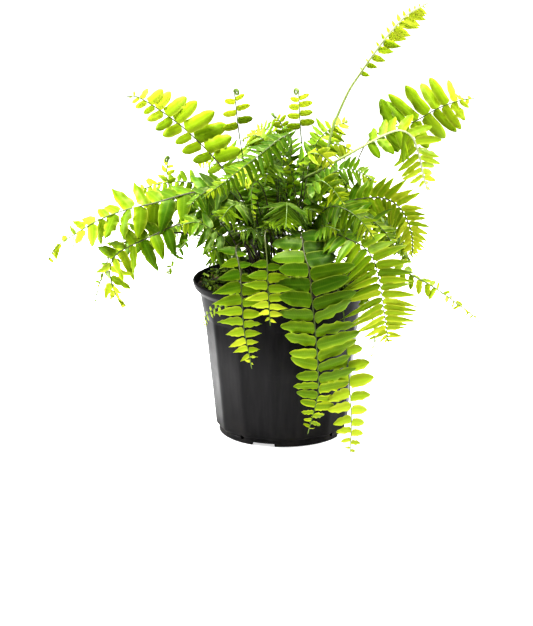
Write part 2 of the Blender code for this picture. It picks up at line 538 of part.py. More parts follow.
def stations(item):
    """Cross lines of the frond: midrib place, direction, across and up vectors, and half width."""
    points, lengths, blade_start = spine(item)
    total = lengths[-1]
    stalk_rings = max(2, int(round((blade_start - (STALK_FREE - STALK_FOOT)) / STALK_STEP)))
    free = STALK_FREE - STALK_FOOT
    distances = [0.0] + [free + (blade_start - free) * k / stalk_rings for k in range(stalk_rings)]
    gaps = [1.0 - (1.0 - TIP_PITCH) * (k / item["pairs"]) ** PITCH_POWER for k in range(item["pairs"])]
    blade = total - blade_start - TIP_LENGTH * (2.0 if item["coil"] else 1.0)
    distance = blade_start
    blade_from = len(distances)
    distances.append(distance)
    for gap in gaps:
        step = blade * gap / sum(gaps)
        if item["fill"] < 1.0:
            distances.append(distance + step * item["fill"])
        distance += step
        distances.append(distance)
    level = across_vector(item)
    rows = []
    for distance in distances:
        place, along = at(points, lengths, distance)
        if distance < free + 0.5:
            along = Vector((0.0, 0.0, 1.0))
        across = (level - along * level.dot(along)).normalized()
        share = max(0.0, (distance - blade_start) / max(total - blade_start, 1.0))
        turn = math.radians(item["roll"][0] + (item["roll"][1] - item["roll"][0]) * share)
        if distance > free + 0.5:
            turn *= min(1.0, distance / blade_start)
            across = Matrix.Rotation(turn, 3, along) @ across
        up = along.cross(across)
        half = STALK_HALF_WIDTH + (TIP_HALF_WIDTH - STALK_HALF_WIDTH) * distance / total
        rows.append(dict(place=place, along=along, across=across, up=up, half=half, share=share,
                         distance=distance))
    end, along = at(points, lengths, total)
    return rows, blade_from, end, along


def outline(leaflet, scale=1.0, bend=0.0, grow=0.0):
    """The leaflet's shape: its two broad points and its tip."""
    base = leaflet["base"]
    turn = Matrix.Rotation(math.radians(bend) * leaflet["side"], 3, leaflet["along"])
    out = turn @ leaflet["out"]
    width = Matrix.Rotation(math.radians(leaflet["twist"]), 3, out) @ leaflet["along"]
    width = (width - out * width.dot(out)).normalized()
    length = leaflet["length"] * scale
    half = max(leaflet["half"] * (WIDTH_KEPT + (1.0 - WIDTH_KEPT) * scale), SMALLEST_HALF) + grow
    sag = leaflet["up"] * (-LEAFLET_SAG * length)
    broad_at = leaflet["broad_at"]
    broad = base + out * (length * broad_at) + sag * broad_at * broad_at
    tip = base + out * (length + grow) + sag + leaflet["along"] * (LEAFLET_BEND * length)
    return broad - width * half, broad + width * half, tip


def plan_leaflets(item, rows, blade_from, seed):
    """Every leaflet of a frond as it would grow with nothing in its way."""
    rng = random.Random(seed)
    stride = 2 if item["fill"] < 1.0 else 1
    broad_at = SEPARATE_BROAD_AT if item["fill"] < 1.0 else BROAD_AT
    leaflets = []
    for side in (-1, 1):
        line = []
        for index in range(item["pairs"]):
            row = blade_from + stride * index
            low, high = rows[row], rows[row + 1]
            pitch = (rows[row + stride]["place"] - low["place"]).length
            share = (index + 0.5) / item["pairs"]
            length = leaflet_length(item, share) * item["sides"][0 if side < 0 else 1]
            length *= rng.uniform(*LENGTH_DRAW)
            droop = math.radians(item["droop"] + rng.uniform(-DROOP_DRAW, DROOP_DRAW))
            lean = item["lean"] + item["sway"] * side + TIP_LEAN * share
            lean = math.radians(lean + rng.uniform(-LEAN_DRAW, LEAN_DRAW))
            twist = (item["twist"] + rng.uniform(-TWIST_DRAW, TWIST_DRAW)) * side
            along = (low["along"] + high["along"]).normalized()
            across = (low["across"] + high["across"]).normalized()
            up = (low["up"] + high["up"]).normalized()
            first = low["place"] + low["across"] * (low["half"] * side)
            second = high["place"] + high["across"] * (high["half"] * side)
            flat = across * (math.cos(droop) * side) - up * math.sin(droop)
            out = flat * math.cos(lean) + along * math.sin(lean)
            line.append(dict(index=index, side=side, row=row, pitch=pitch, first=first, out=out,
                             second=second, base=(first + second) / 2.0, up=up, along=along,
                             length=length, twist=twist, broad_at=broad_at))
        for place, leaflet in enumerate(line):
            reach = leaflet["length"] * broad_at
            centre = leaflet["base"] + leaflet["out"] * reach
            room = leaflet["pitch"]
            for other in line[max(place - 1, 0):place + 2]:
                if other is not leaflet:
                    room = min(room, (other["base"] + other["out"] * reach - centre).length)
            half = (0.5 * room - LEAFLET_CLEARANCE) * item["slim"]
            leaflet["half"] = max(SMALLEST_HALF, min(half, leaflet["length"] * LARGEST_WIDTH / 2.0))
        leaflets += line
    return sorted(leaflets, key=lambda leaflet: (leaflet["index"], leaflet["side"]))


def guard(leaflet, scale, bend):
    """A thick closed copy of a leaflet, without its root, for testing what it would touch."""
    near, far, tip = outline(leaflet, scale, bend, grow=LEAFLET_CLEARANCE)
    share = GUARD_FROM / leaflet["broad_at"]
    first = leaflet["first"].lerp(near, share)
    second = leaflet["second"].lerp(far, share)
    ring = [first, second, far, tip, near]
    normal = (far - near).cross(tip - leaflet["base"]).normalized() * NEIGHBOUR_CLEARANCE
    points = [p + normal for p in ring] + [p - normal for p in ring]
    faces = [(0, 1, 2), (0, 2, 4), (2, 3, 4), (5, 7, 6), (5, 9, 7), (7, 9, 8)]
    for k in range(5):
        faces.append((k, (k + 1) % 5, (k + 1) % 5 + 5, k + 5))
    return points, faces


def bounds(points):
    """Lowest and highest corner of some points."""
    return (Vector([min(p[axis] for p in points) for axis in range(3)]),
            Vector([max(p[axis] for p in points) for axis in range(3)]))


def apart(one, two):
    """Whether two boxes don't touch."""
    return any(one[0][axis] > two[1][axis] or two[0][axis] > one[1][axis] for axis in range(3))


def stalk_tube(rows):
    """A square tube round a stalk and midrib, for testing."""
    points = []
    faces = []
    for row in rows:
        wide = row["half"] + STALK_CLEARANCE
        for a, b in ((-1, -1), (1, -1), (1, 1), (-1, 1)):
            points.append(row["place"] + row["across"] * (wide * a) + row["up"] * (wide * b))
    for k in range(len(rows) - 1):
        for side in range(4):
            after = (side + 1) % 4
            faces.append((4 * k + side, 4 * k + after, 4 * k + 4 + after, 4 * k + 4 + side))
    return points, faces


def tree(points, faces):
    """A search tree with its box."""
    return BVHTree.FromPolygons(points, faces), bounds(points)


def settle(leaflets, obstacles):
    """Shorten and bend each leaflet until it is clear of the obstacles and of its own frond."""
    kept = []
    for leaflet in leaflets:
        own = [other for other in kept if other["side"] != leaflet["side"]
               or abs(other["index"] - leaflet["index"]) > 1]
        for scale, bend in FITS:
            points, faces = guard(leaflet, scale, bend)
            box = bounds(points)
            if box[0].z < FLOOR_CLEARANCE:
                continue
            near = [entry for entry in obstacles if not apart(entry[1], box)]
            near += [other["tree"] for other in own if not apart(other["tree"][1], box)]
            test = BVHTree.FromPolygons(points, faces) if near else None
            if any(test.overlap(entry[0]) for entry in near):
                continue
            broad = outline(leaflet, scale, bend)
            shape = [leaflet["first"], leaflet["second"], broad[1], broad[2], broad[0]]
            leaflet["shape"] = shape
            leaflet["fit"] = (scale, bend)
            leaflet["tree"] = tree(shape, [(0, 1, 2), (0, 2, 4), (2, 3, 4)])
            kept.append(leaflet)
            break
    return kept


def lay_out(obstacles):
    """Plan all fronds: their stalks first, then leaflets that give way to what is there."""
    plans = []
    for seed, item in enumerate(FRONDS):
        rows, blade_from, end, along = stations(item)
        plans.append(dict(item=item, rows=rows, blade_from=blade_from, end=end, along=along,
                          stalk=tree(*stalk_tube(rows)), seed=seed, leaflets=[]))
    for plan in plans:
        others = [other["stalk"] for other in plans if other is not plan]
        placed = [leaflet["tree"] for other in plans for leaflet in other["leaflets"]]
        leaflets = plan_leaflets(plan["item"], plan["rows"], plan["blade_from"], plan["seed"])
        plan["leaflets"] = settle(leaflets, obstacles + others + placed)
    return plans


def build_frond(plan, parts, mat):
    """One frond: a strip for stalk and midrib, leaflets along it, thickened by Solidify."""
    item = plan["item"]
    bm = bmesh.new()
    weights = {}

    def vertex(place, weight):
        vert = bm.verts.new(place * MM)
        weights[vert] = weight
        return vert

    left = []
    right = []
    for row in plan["rows"]:
        in_blade = row["share"] > 0.0 or row is plan["rows"][plan["blade_from"]]
        weight = RIB_WEIGHT + (TIP_WEIGHT - RIB_WEIGHT) * row["share"] if in_blade else 1.0
        left.append(vertex(row["place"] - row["across"] * row["half"], weight))
        right.append(vertex(row["place"] + row["across"] * row["half"], weight))
    for k in range(len(left) - 1):
        bm.faces.new((left[k], left[k + 1], right[k + 1]))
        bm.faces.new((left[k], right[k + 1], right[k]))
    last = plan["rows"][-1]
    if item["coil"]:
        towards = last["up"] * item["coil"]
        for place in coil_points(plan["end"], plan["along"], towards):
            ends = (vertex(place - last["across"] * last["half"], TIP_WEIGHT),
                    vertex(place + last["across"] * last["half"], TIP_WEIGHT))
            bm.faces.new((left[-1], ends[0], ends[1]))
            bm.faces.new((left[-1], ends[1], right[-1]))
            left.append(ends[0])
            right.append(ends[1])
    else:
        tip = vertex(plan["end"] + plan["along"] * 2.0, LEAFLET_WEIGHT)
        bm.faces.new((left[-1], tip, right[-1]))
    for leaflet in plan["leaflets"]:
        row = leaflet["row"]
        low, high = (right[row], right[row + 1]) if leaflet["side"] > 0 else (left[row + 1], left[row])
        shape = leaflet["shape"]
        near, far = (shape[4], shape[2]) if leaflet["side"] > 0 else (shape[2], shape[4])
        tip = vertex(shape[3], LEAFLET_WEIGHT)
        if leaflet["length"] * leaflet["fit"][0] < SMALL_LEAFLET:
            bm.faces.new((low, high, tip))
            continue
        far = vertex(far, LEAFLET_WEIGHT)
        if item["plain"]:
            bm.faces.new((low, high, far))
            bm.faces.new((low, far, tip))
            continue
        near = vertex(near, LEAFLET_WEIGHT)
        bm.faces.new((low, high, far))
        bm.faces.new((low, far, near))
        bm.faces.new((near, far, tip))
    bm.verts.index_update()
    shares = [(vert.index, weight) for vert, weight in weights.items()]
    mesh = bpy.data.meshes.new(item["name"])
    bm.to_mesh(mesh)
    bm.free()
    mesh.materials.append(mat)
    obj = bpy.data.objects.new(item["name"], mesh)
    parts.objects.link(obj)
    group = obj.vertex_groups.new(name="thickness")
    for index, weight in shares:
        group.add([index], weight, "REPLACE")
    solid = obj.modifiers.new("Thickness", "SOLIDIFY")
    solid.thickness = SHEET_THICKNESS * MM
    solid.offset = 0.0
    solid.vertex_group = "thickness"
    solid.thickness_vertex_group = 0.0
    return obj


def surface_tree(obj):
    """A search tree of a finished object, in millimetres."""
    graph = bpy.context.evaluated_depsgraph_get()
    mesh = obj.evaluated_get(graph).to_mesh()
    points = [vert.co / MM for vert in mesh.vertices]
    faces = [tuple(face.vertices) for face in mesh.polygons]
    return tree(points, faces)


def main():
    for obj in list(bpy.data.objects):
        bpy.data.objects.remove(obj, do_unlink=True)
    scene = bpy.context.scene
    parts = bpy.data.collections.new(OBJECT_NAME)
    cutters = bpy.data.collections.new("cutters")
    scene.collection.children.link(parts)
    scene.collection.children.link(cutters)

    pot = build_pot(parts, cutters, material("black_plastic", POT_COLOUR, 0.45))
    soil = build_soil(parts, cutters, material("potting_soil", SOIL_COLOUR, 0.95))
    tints = {name: material("leaf_" + name, colour, 0.45) for name, colour in TINTS.items()}
    for plan in lay_out([surface_tree(pot), surface_tree(soil)]):
        build_frond(plan, parts, tints[plan["item"]["tint"]])


main()
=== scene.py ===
"""Potted macho fern: fine fronds, a moulded pot, and soil with bark and moss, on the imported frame.

Sizes are millimetres, turned into metres with MM. The frond list and the way that stalks and
leaflets are placed repeat the CAD source, so each piece keeps the form of the node it replaces.
"""
import random
from math import ceil, copysign, cos, exp, hypot, pi, radians, sin, sqrt
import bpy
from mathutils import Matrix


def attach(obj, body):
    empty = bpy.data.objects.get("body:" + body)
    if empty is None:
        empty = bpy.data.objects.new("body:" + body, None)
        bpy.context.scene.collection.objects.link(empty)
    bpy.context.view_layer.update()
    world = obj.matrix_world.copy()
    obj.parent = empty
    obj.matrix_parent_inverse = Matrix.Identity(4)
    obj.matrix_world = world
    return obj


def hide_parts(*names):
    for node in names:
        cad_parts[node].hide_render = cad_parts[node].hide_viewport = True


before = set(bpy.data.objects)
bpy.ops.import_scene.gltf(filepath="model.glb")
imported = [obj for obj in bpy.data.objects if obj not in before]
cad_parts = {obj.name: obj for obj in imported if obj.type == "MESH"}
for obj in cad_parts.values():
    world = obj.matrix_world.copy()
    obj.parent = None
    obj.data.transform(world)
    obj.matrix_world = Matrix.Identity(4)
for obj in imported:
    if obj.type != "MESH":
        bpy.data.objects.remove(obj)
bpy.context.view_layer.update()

from types import SimpleNamespace

import bmesh
import bpy
import numpy as np
from mathutils import Matrix, Vector, noise
from mathutils.bvhtree import BVHTree

MM = 0.001
SQUARE = ((-1, -1), (1, -1), (1, 1), (-1, 1))

# Pot, as in the CAD source.
RIM_RADIUS = 89.0
POT_HEIGHT = 157.0
BAND_HEIGHT = 6.8
NECK_RADIUS = 82.0
NECK_TOP = 144.8
PANEL_TOP = 120.0
PANEL_TOP_RADIUS = 77.8
PANEL_FOOT = 9.0
PANEL_FOOT_RADIUS = 66.2
FOOT_RADIUS = 63.2
FOOT_INNER_RADIUS = 57.5
SOLE_RADIUS = 50.5
GROOVE_HEIGHT = 2.6
WALL = 1.8
PANELS = 14
STEPS_PER_PANEL = 14
PANEL_PHASE = radians(-150.0)
PANEL_CORNER = 0.10
PANEL_EASE = 0.4
PRESSED_FROM = 4.5
PRESSED_RISE = 2.0
PRESSED_FADE = 3.0
FLOOR = 2.0
LEDGE = 1.4
COLLAR_TAPER = 1.2
RIM_ROUND = 0.6
GROOVE_SLOPE = 1.0
FOOT_CHAMFER = 1.7
FOOT_BAND = 6.2
EDGE_ROUND = 1.2
LONGEST_RUN = 9.0
POT_CREASE = 38.0
NOTCHES = 4
NOTCH_PHASE = radians(-108.0)
NOTCH_WIDTH = 24.0
NOTCH_HEIGHT = 3.4
DRAIN_RADIUS = 2.5
DRAIN_REACH = 54.0
DRAIN_LENGTH = 30.0
WEEP_RADIUS = 2.2
WEEP_HEIGHT = 6.2
WEEP_TURN = radians(-21.0)
WEEP_LENGTH = 12.0

# Soil, how far out litter lies on it, and the room it leaves round a stalk.
SOIL_GAP = 0.3
SOIL_TOP = 150.8
SOIL_DROP = 0.5
SOIL_MOUND = 3.0
SOIL_MOUND_RADIUS = 36.0
SOIL_LUMP = 1.3
SOIL_STEPS = 112
SOIL_RING_STEP = 2.6
CRUMB = 0.9
CRUMB_SCALE = 0.33
LITTER_RADIUS = RIM_RADIUS - WALL - 7.0
ROOT_ROOM = 2.6

# Bark chips: their length, their other half sides as shares of it, the least that a broken corner
# keeps of each half side, how far chips tilt, and how high they lie, in half thicknesses.
CHIPS = 520
CHIP_SIZE = (2.2, 6.5)
CHIP_WIDTH = (0.2, 0.4)
CHIP_THICKNESS = (0.1, 0.22)
CHIP_BREAK = (0.7, 0.6, 0.6)
CHIP_TILT = 0.5
CHIP_LEVEL = (0.1, 0.9)

# Moss lobes: their size, tilt and depth, the patches they grow in, and how they heap up near the rim.
MOSS_LOBES = 2400
LOBE_SIZE = (1.6, 3.4)
LOBE_SIDES = 7
LOBE_TILT = 0.7
LOBE_RISE = 0.35
LOBE_DEPTH = 0.5
PATCH_SCALE = 0.045
PATCH_RIM = 0.6
PATCH_LEAST = 0.32
PATCH_DRAW = 0.25
MOSS_HEAP = 5.0
MOSS_HEAP_FROM = 46.0
HEAP_SIDE = 90.0

# Dry bits: their mean turn about the pot and its spread, in degrees, their reach, and their form.
DRY_BITS = 26
DRY_TURN = (200.0, 28.0)
DRY_FROM = 66.0
DRY_TO = RIM_RADIUS - WALL - 5.0
DRY_LENGTH = (5.0, 14.0)
DRY_ARCH = 1.6
DRY_RADIUS = 0.5
DRY_TAPER = 0.7
DRY_RINGS = 5

# Stalks and midribs.
STALK_FOOT = 140.0
STALK_FREE = 157.0
STALK_RADIUS = 1.15
STALK_TAPER = 0.8
BURIED = STALK_FREE - STALK_FOOT
UPRIGHT_TO = BURIED + 0.5
TIP_RADIUS = 0.5
TUBE_SIDES = 8
TUBE_STEP = 5.0
SPAN_SAMPLES = 12
FOOT_PULL = 0.6
STALK_CLEARANCE = 0.35
TIP_LENGTH = 2.0
THICK_FROM = 60.0
STALK_GROOVE = 0.28
STALK_AGE = 0.6
COIL_TURNS = 1.2
COIL_OUTER = 3.6
COIL_INNER = 1.2
COIL_STEP = radians(12.0)
COIL_FATNESS = 3.0
COIL_THINNING = 0.5

# Scales at the foot of a stalk, and hairs further up.
SCALE_START = 3.0
SCALE_FADE = 34.0
SCALE_LENGTH = 3.4
SCALE_LENGTH_DRAW = (0.7, 1.2)
SCALE_STEP = 1.0
SCALE_STEP_DRAW = (0.6, 1.4)
SCALE_TILT = (0.25, 0.9)
SCALE_WIDTH = 0.34
SCALE_SEAT = 0.85
SCALE_AGE = 0.02
SCALE_RIPENING = 0.25
HAIR_LENGTH = 0.9
HAIR_STEP = 3.2
HAIR_WIDTH = 0.4
HAIRS_TO = 0.92
WOOL_STEP = 0.75

# Leaflets: their places, lengths and turns.
TIP_PITCH = 0.38
PITCH_POWER = 1.3
ALTERNATE = 0.16
FIRST_LENGTH = 0.78
FIRST_POWER = 0.7
LOWEST_LENGTH = 0.75
FULL_LENGTH_AT = 0.22
TAPER_FROM = 0.3
TAPER = 0.86
TAPER_POWER = 1.35
COIL_TAPER = 0.45
BROAD_AT = 0.42
LARGEST_WIDTH = 0.5
SMALLEST_HALF = 0.5
LEAST_ROOM = 0.75
WIDTH_KEPT = 0.7
LEAFLET_SAG = 0.10
LEAFLET_BEND = 0.06
LENGTH_DRAW = (0.88, 1.12)
DROOP_DRAW = 11.0
LEAN_DRAW = 7.0
TWIST_DRAW = 12.0
TIP_LEAN = 18.0
SHINGLE = 11.0
# Crumpled leaflets at a young tip: how far they turn at random, how soon they are fully crumpled,
# how short they may be, and how much more they curl.
CRUMPLE_TURN = 55.0
CRUMPLE_LEAN = 0.6
CRUMPLE_RISE = 6.0
CRUMPLE_LENGTH = 0.5
CRUMPLE_CURL = 1.6

# The room that leaflets leave, and how far one is shortened and bent, in the order tried: first
# until it is clear of all that is there, and then until it at least misses every stalk, the pot,
# the soil and its own frond.
GUARD_FROM = 0.2
LEAFLET_CLEARANCE = 0.1
NEIGHBOUR_CLEARANCE = 0.35
FLOOR_CLEARANCE = 1.0
CLEAR_FITS = ((1.0, 0), (1.0, 14), (1.0, -14), (1.0, 28), (1.0, -28), (0.9, 0), (0.9, 40), (0.9, -40))
TIGHT_FITS = ((1.0, 0), (1.0, 16), (1.0, -16), (1.0, 34), (1.0, -34), (0.95, 55), (0.95, -55),
              (0.85, 0), (0.85, 70), (0.85, -70), (0.7, 0), (0.7, 40), (0.7, -40), (0.55, 0),
              (0.55, 65), (0.55, -65), (0.4, 0))

# A leaflet's outline, by its share of the length: how fast it widens at the root, where it is
# widest, how soon it narrows when blunt and how much sooner when pointed, and the powers of both.
ROOT_SPREAD = 0.022
SHOULDER = 0.88
WIDEST_AT = 0.36
BLUNT_TO = 0.56
POINT_SOONER = 0.22
BLUNT_POWERS = (2.7, 0.6)
POINT_POWERS = (1.5, 1.05)
LEAST_WIDTH = 0.04
EAR = 0.2
EAR_AT = 0.07
EAR_SPREAD = 0.05
# Its relief, on a coarse grid for a short leaflet and a finer one from FINE_FROM on. A pair called
# chance is what a draw of 0 gives, and what a draw of 1 adds to it.
FINE_FROM = 11.0
GRIDS = (((0.0, 0.04, 0.14, 0.34, 0.58, 0.8, 0.94, 1.0), (-1.0, -0.5, 0.0, 0.5, 1.0)),
         ((0.0, 0.02, 0.06, 0.13, 0.22, 0.33, 0.45, 0.57, 0.69, 0.8, 0.89, 0.96, 1.0),
          (-1.0, -0.62, -0.16, 0.0, 0.16, 0.62, 1.0)))
WAVE = 0.24
WAVE_CHANCE = (0.4, 1.0)
WAVES_CHANCE = (2.0, 1.6)
WAVE_SHIFT = 0.3
WAVE_FADE = 0.7
MOST_WAVE = 1.2
CUP = 0.16
CUP_CHANCE = (0.3, 1.2)
CUP_POWER = 1.4
CUP_FROM = 0.2
CURL = 0.22
CURL_CHANCE = (-0.35, 1.0)
BEND_CHANCE = (0.4, 1.2)
VEIN_GROOVE = 0.16
GROOVE_SPREAD = 0.14
LEAF_THICKNESS = 0.26
VEIN_THICKNESS = 0.34
VEIN_SPREAD = 0.1

# Colours, linear.
WHITE = (1.0, 1.0, 1.0)
VEIN_COLOUR = (0.5, 0.6, 0.08)
MIDVEIN_SHARE = 0.1
VEIN_SHARE = 0.07
VEIN_TURN = 1.4
VEIN_SLANT = -2.4
EDGE_SHARE = 0.4
EDGE_AGE = 0.2
# Painted shade on the half of each leaflet towards the frond's foot, as if its neighbour shadowed it: how
# strong it is, and its dark green.
PAINTED_SHADE_SHARE = 0.75
PAINTED_SHADE_COLOUR = (0.01, 0.035, 0.002)
GLOSS_COLOUR = (0.62, 0.8, 0.18)
GLOSS = {"dark": 0.55, "mid": 0.3, "bright": 0.25, "lime": 0.25}
THROUGH = 0.42
THROUGH_TINT = 0.3
THROUGH_COLOUR = (0.78, 0.88, 0.01)
TINT_STOPS = {
    "lime": ((0.0, (0.14, 0.25, 0.004)), (0.35, (0.31, 0.44, 0.011)), (1.0, (0.61, 0.67, 0.055))),
    "bright": ((0.0, (0.05, 0.14, 0.002)), (0.45, (0.22, 0.345, 0.006)), (1.0, (0.6, 0.64, 0.045))),
    "mid": ((0.0, (0.03, 0.1, 0.002)), (0.5, (0.105, 0.205, 0.004)), (0.82, (0.22, 0.33, 0.008)),
            (1.0, (0.5, 0.57, 0.02))),
    "dark": ((0.0, (0.014, 0.05, 0.002)), (0.5, (0.055, 0.15, 0.003)), (1.0, (0.27, 0.42, 0.006))),
}
STALK_STOPS = ((0.0, (0.015, 0.009, 0.005)), (0.15, (0.028, 0.02, 0.009)), (0.35, (0.045, 0.055, 0.01)),
               (0.6, (0.075, 0.135, 0.01)), (0.8, (0.2, 0.25, 0.07)), (1.0, (0.4, 0.42, 0.25)))
POT_BLACK = (0.005, 0.0048, 0.0052)
POT_STREAK = (0.01, 0.0095, 0.01)
POT_SCUFF = (0.05, 0.048, 0.05)
POT_DUST = (0.035, 0.031, 0.028)
POT_SHEEN = (0.075, 0.02)
SHEEN_HEIGHTS = (0.07, 0.12)
DUST_HEIGHT = 0.03
SOIL_STOPS = ((0.3, (0.008, 0.005, 0.004)), (0.52, (0.03, 0.019, 0.012)), (0.72, (0.085, 0.052, 0.03)))
FIBRE_COLOUR = (0.14, 0.09, 0.05)
BARK_STOPS = ((0.0, (0.012, 0.007, 0.005)), (0.5, (0.045, 0.026, 0.014)), (1.0, (0.13, 0.075, 0.04)))
DRY_STOPS = ((0.0, (0.1, 0.05, 0.022)), (0.6, (0.24, 0.13, 0.06)), (1.0, (0.4, 0.26, 0.13)))
MOSS_STOPS = ((0.0, (0.015, 0.028, 0.004)), (0.5, (0.08, 0.135, 0.012)), (1.0, (0.22, 0.31, 0.03)))

# Camera and studio, in metres.
CAMERA_TARGET = (-0.0155, 0.0, 0.121)
CAMERA_DISTANCE = 2.5
CAMERA_ELEVATION = 14.5
LENS = 143.78
FLOOR_SIZE = 1.6
FLOOR_LEVEL = -0.0002
FLOOR_COLOUR = (0.8, 0.8, 0.8)
FLOOR_GLOW = 0.55
WORLD_FADE = (-0.7, 0.5)
WORLD_LIGHT = (0.12, 0.85)
WORLD_SEEN = 1.4
AIM = (0.0, 0.0, 0.16)
LIGHTS = (("top_box", (-0.2, 0.1, 1.7), 0.5, 92.0),
          ("left_box", (-1.5, 0.0, 1.0), 0.6, 52.0),
          ("right_box", (1.6, 0.4, 0.9), 0.6, 42.0),
          ("front_box", (-0.7, -2.2, 1.5), 1.2, 12.0))

# What a frond is unless its call says otherwise. Its leaflets begin at the route's point start. Of
# them, sides is the length on each side as a share, droop how far they hang below the blade, roll
# the blade's turn about the midrib from start to tip, lean how far they point to the tip, sway how
# much more so on one side, twist their own turn, slim their width, and late and hold the shares of
# the blade where they reach and leave their full length. coil is the side to which a young tip is
# rolled up, and across the level direction across the blade.
# The rest says how the fine frond differs from the source's. Of its leaflets, more is the number for
# each of the source's, point how pointed they are from 0 to 1, full their half width for each pitch,
# wild how uneven they are, bend how far they curve to the tip, crumpled the share of the blade where
# they begin to be crumpled, lower the share of the stalk below that carries small ones, and fresh how
# much younger their colour is. pale is how much paler the stalk is, and thick how many times as thick.
USUAL = dict(start=1, sides=(1.0, 1.0), droop=20.0, roll=(0.0, 0.0), lean=12.0, sway=0.0, twist=0.0,
             slim=1.0, late=FULL_LENGTH_AT, hold=TAPER_FROM, coil=0.0, across=None, tint="mid",
             more=1.75, point=0.75, full=0.52, wild=1.5, bend=1.0, crumpled=0.85, lower=0.5,
             fresh=0.0, pale=0.0, thick=0.9)
FRONDS = []


def frond(name, root, route, pairs, leaf, **others):
    """Add one frond to the list.

    root is where the stalk leaves the soil, and route the points that the midrib passes through.
    pairs is how many pairs of leaflets the source's frond has, and leaf the length of the longest.
    """
    FRONDS.append(SimpleNamespace(name=name, root=root, route=route, pairs=pairs, leaf=leaf,
                                  seed=len(FRONDS), **{**USUAL, **others}))


# Fronds that arch over the rim and hang in front of the pot.
frond("front_centre", (9, -19), [(14, -42, 206), (18, -62, 215), (21, -86, 201), (25, -98, 189),
      (28, -108, 162), (31, -110, 133), (34, -107, 92), (34, -104, 66), (25, -99, 27)], 17, 42, start=0,
      sides=(0.7, 1.0), droop=8, lean=-12, hold=0.5, more=1.12, point=0.3, full=0.55, wild=1.0, bend=-0.8,
      crumpled=0.82, lower=0.0, fresh=-0.1)
frond("front_right", (19, -16), [(38, -50, 178), (56, -78, 158), (61, -88, 117), (65, -92, 73),
      (67, -94, 39), (66, -96, 3)], 9, 25, start=2, droop=6, roll=(10, 10), lean=-2, more=1.05,
      point=0.45, full=0.54, wild=0.9, crumpled=0.9, lower=0.0, fresh=0.02, pale=0.2, tint="lime")
frond("front_left", (-15, -22), [(-34, -44, 200), (-45, -66, 203), (-41, -86, 186), (-39, -97, 159),
      (-37, -98, 129), (-32, -97, 104), (-30, -96, 92)], 11, 27, sides=(1.0, 0.75), droop=5,
      roll=(-12, -12), lean=-4, late=0.35, hold=0.4, more=1.05, point=1.1, full=0.5, wild=0.9,
      crumpled=0.8, lower=0.0, tint="bright")
frond("front_mid_left", (-3, -24), [(-12, -54, 214), (-17, -78, 219), (-15, -95, 198), (-14, -104, 171),
      (-12, -107, 138)], 7, 24, start=2, droop=6, lean=-6, late=0.3, hold=0.4, more=1.0, point=1.0,
      full=0.5, wild=0.8, lower=0.0, fresh=0.14, tint="bright")
frond("left_rim", (-21, -18), [(-37, -60, 186), (-42, -82, 168), (-56, -82, 151), (-68, -73, 143),
      (-76, -66, 131), (-75, -64, 115)], 9, 8, droop=10, more=1.2, point=0.4, wild=0.8, crumpled=0.7,
      lower=0.0, tint="lime")

# Fronds on the right.
frond("right_front", (21, -9), [(35, -35, 208), (51, -50, 213), (65, -61, 210), (77, -66, 205),
      (87, -71, 194), (93, -75, 175), (97, -78, 151), (103, -79, 111)], 13, 42, droop=8, lean=2,
      across=(1, 0.25, 0), late=0.26, hold=0.55, more=1.5, point=1.1, full=0.6, wild=0.8, lower=0.0,
      fresh=0.13, tint="bright")
frond("right_low", (27, -5), [(52, -28, 186), (76, -52, 168), (86, -60, 140), (90, -62, 110),
      (87, -62, 88)], 6, 11, droop=10, more=1.2, point=0.4, crumpled=0.8, lower=0.0, tint="lime")
frond("right_trailing", (28, 3), [(62, -14, 183), (86, -24, 176), (111, -31, 173), (125, -34, 169),
      (147, -38, 158), (165, -40, 146), (185, -40, 131), (194, -40, 122)], 12, 14, droop=18,
      roll=(36, 36), more=1.3, point=0.3, full=0.5, wild=1.6, crumpled=0.35, lower=0.0, fresh=0.2,
      pale=0.2, thick=1.3, tint="bright")
frond("right_fan", (22, 5), [(38, -2, 215), (57, -8, 234), (76, -12, 240), (96, -16, 242),
      (111, -20, 237), (120, -23, 226), (126, -26, 212), (128, -28, 197), (127, -29, 184)], 15, 28,
      droop=8, roll=(60, 78), lean=22, twist=15, slim=0.9, hold=0.4, more=1.4, point=1.1, full=0.7,
      wild=1.0, lower=0.3, fresh=0.26, tint="bright")
frond("right_upper", (17, 11), [(42, 8, 215), (60, 8, 243), (72, 14, 267), (84, 21, 290), (102, 26, 302),
      (122, 30, 306), (135, 32, 311), (157, 35, 323), (179, 37, 330), (190, 38, 331)], 8, 36, start=4,
      sides=(0.85, 1.0), droop=8, roll=(78, 70), lean=-10, sway=-9, hold=0.45, more=1.1, point=0.2,
      full=0.56, wild=1.1, crumpled=0.72, lower=0.0, fresh=0.03, tint="lime")
frond("right_arch", (10, 3), [(12, 2, 205), (12, 3, 248), (37, -4, 267), (61, -10, 282), (81, -14, 294),
      (100, -18, 305), (114, -21, 310), (126, -23, 304), (133, -25, 286), (138, -26, 264),
      (142, -27, 252)], 10, 30, start=5, droop=14, roll=(50, 50), more=1.1, point=0.4, full=0.5, wild=1.3,
      crumpled=0.75, lower=0.1, fresh=0.02, pale=0.4, thick=1.8, tint="lime")
frond("tall_thin", (12, 14), [(32, 8, 225), (43, 18, 273), (49, 24, 300), (55, 28, 316), (66, 31, 340),
      (76, 34, 355), (90, 37, 375), (107, 41, 397), (124, 44, 414), (143, 46, 425)], 12, 21, start=5,
      sides=(1.0, 0.35), droop=5, roll=(75, 70), lean=14, late=0.5, hold=0.6, more=1.1, point=0.9,
      full=0.72, wild=0.9, crumpled=0.86, lower=0.0, fresh=0.4, pale=0.42, thick=1.7, tint="lime")

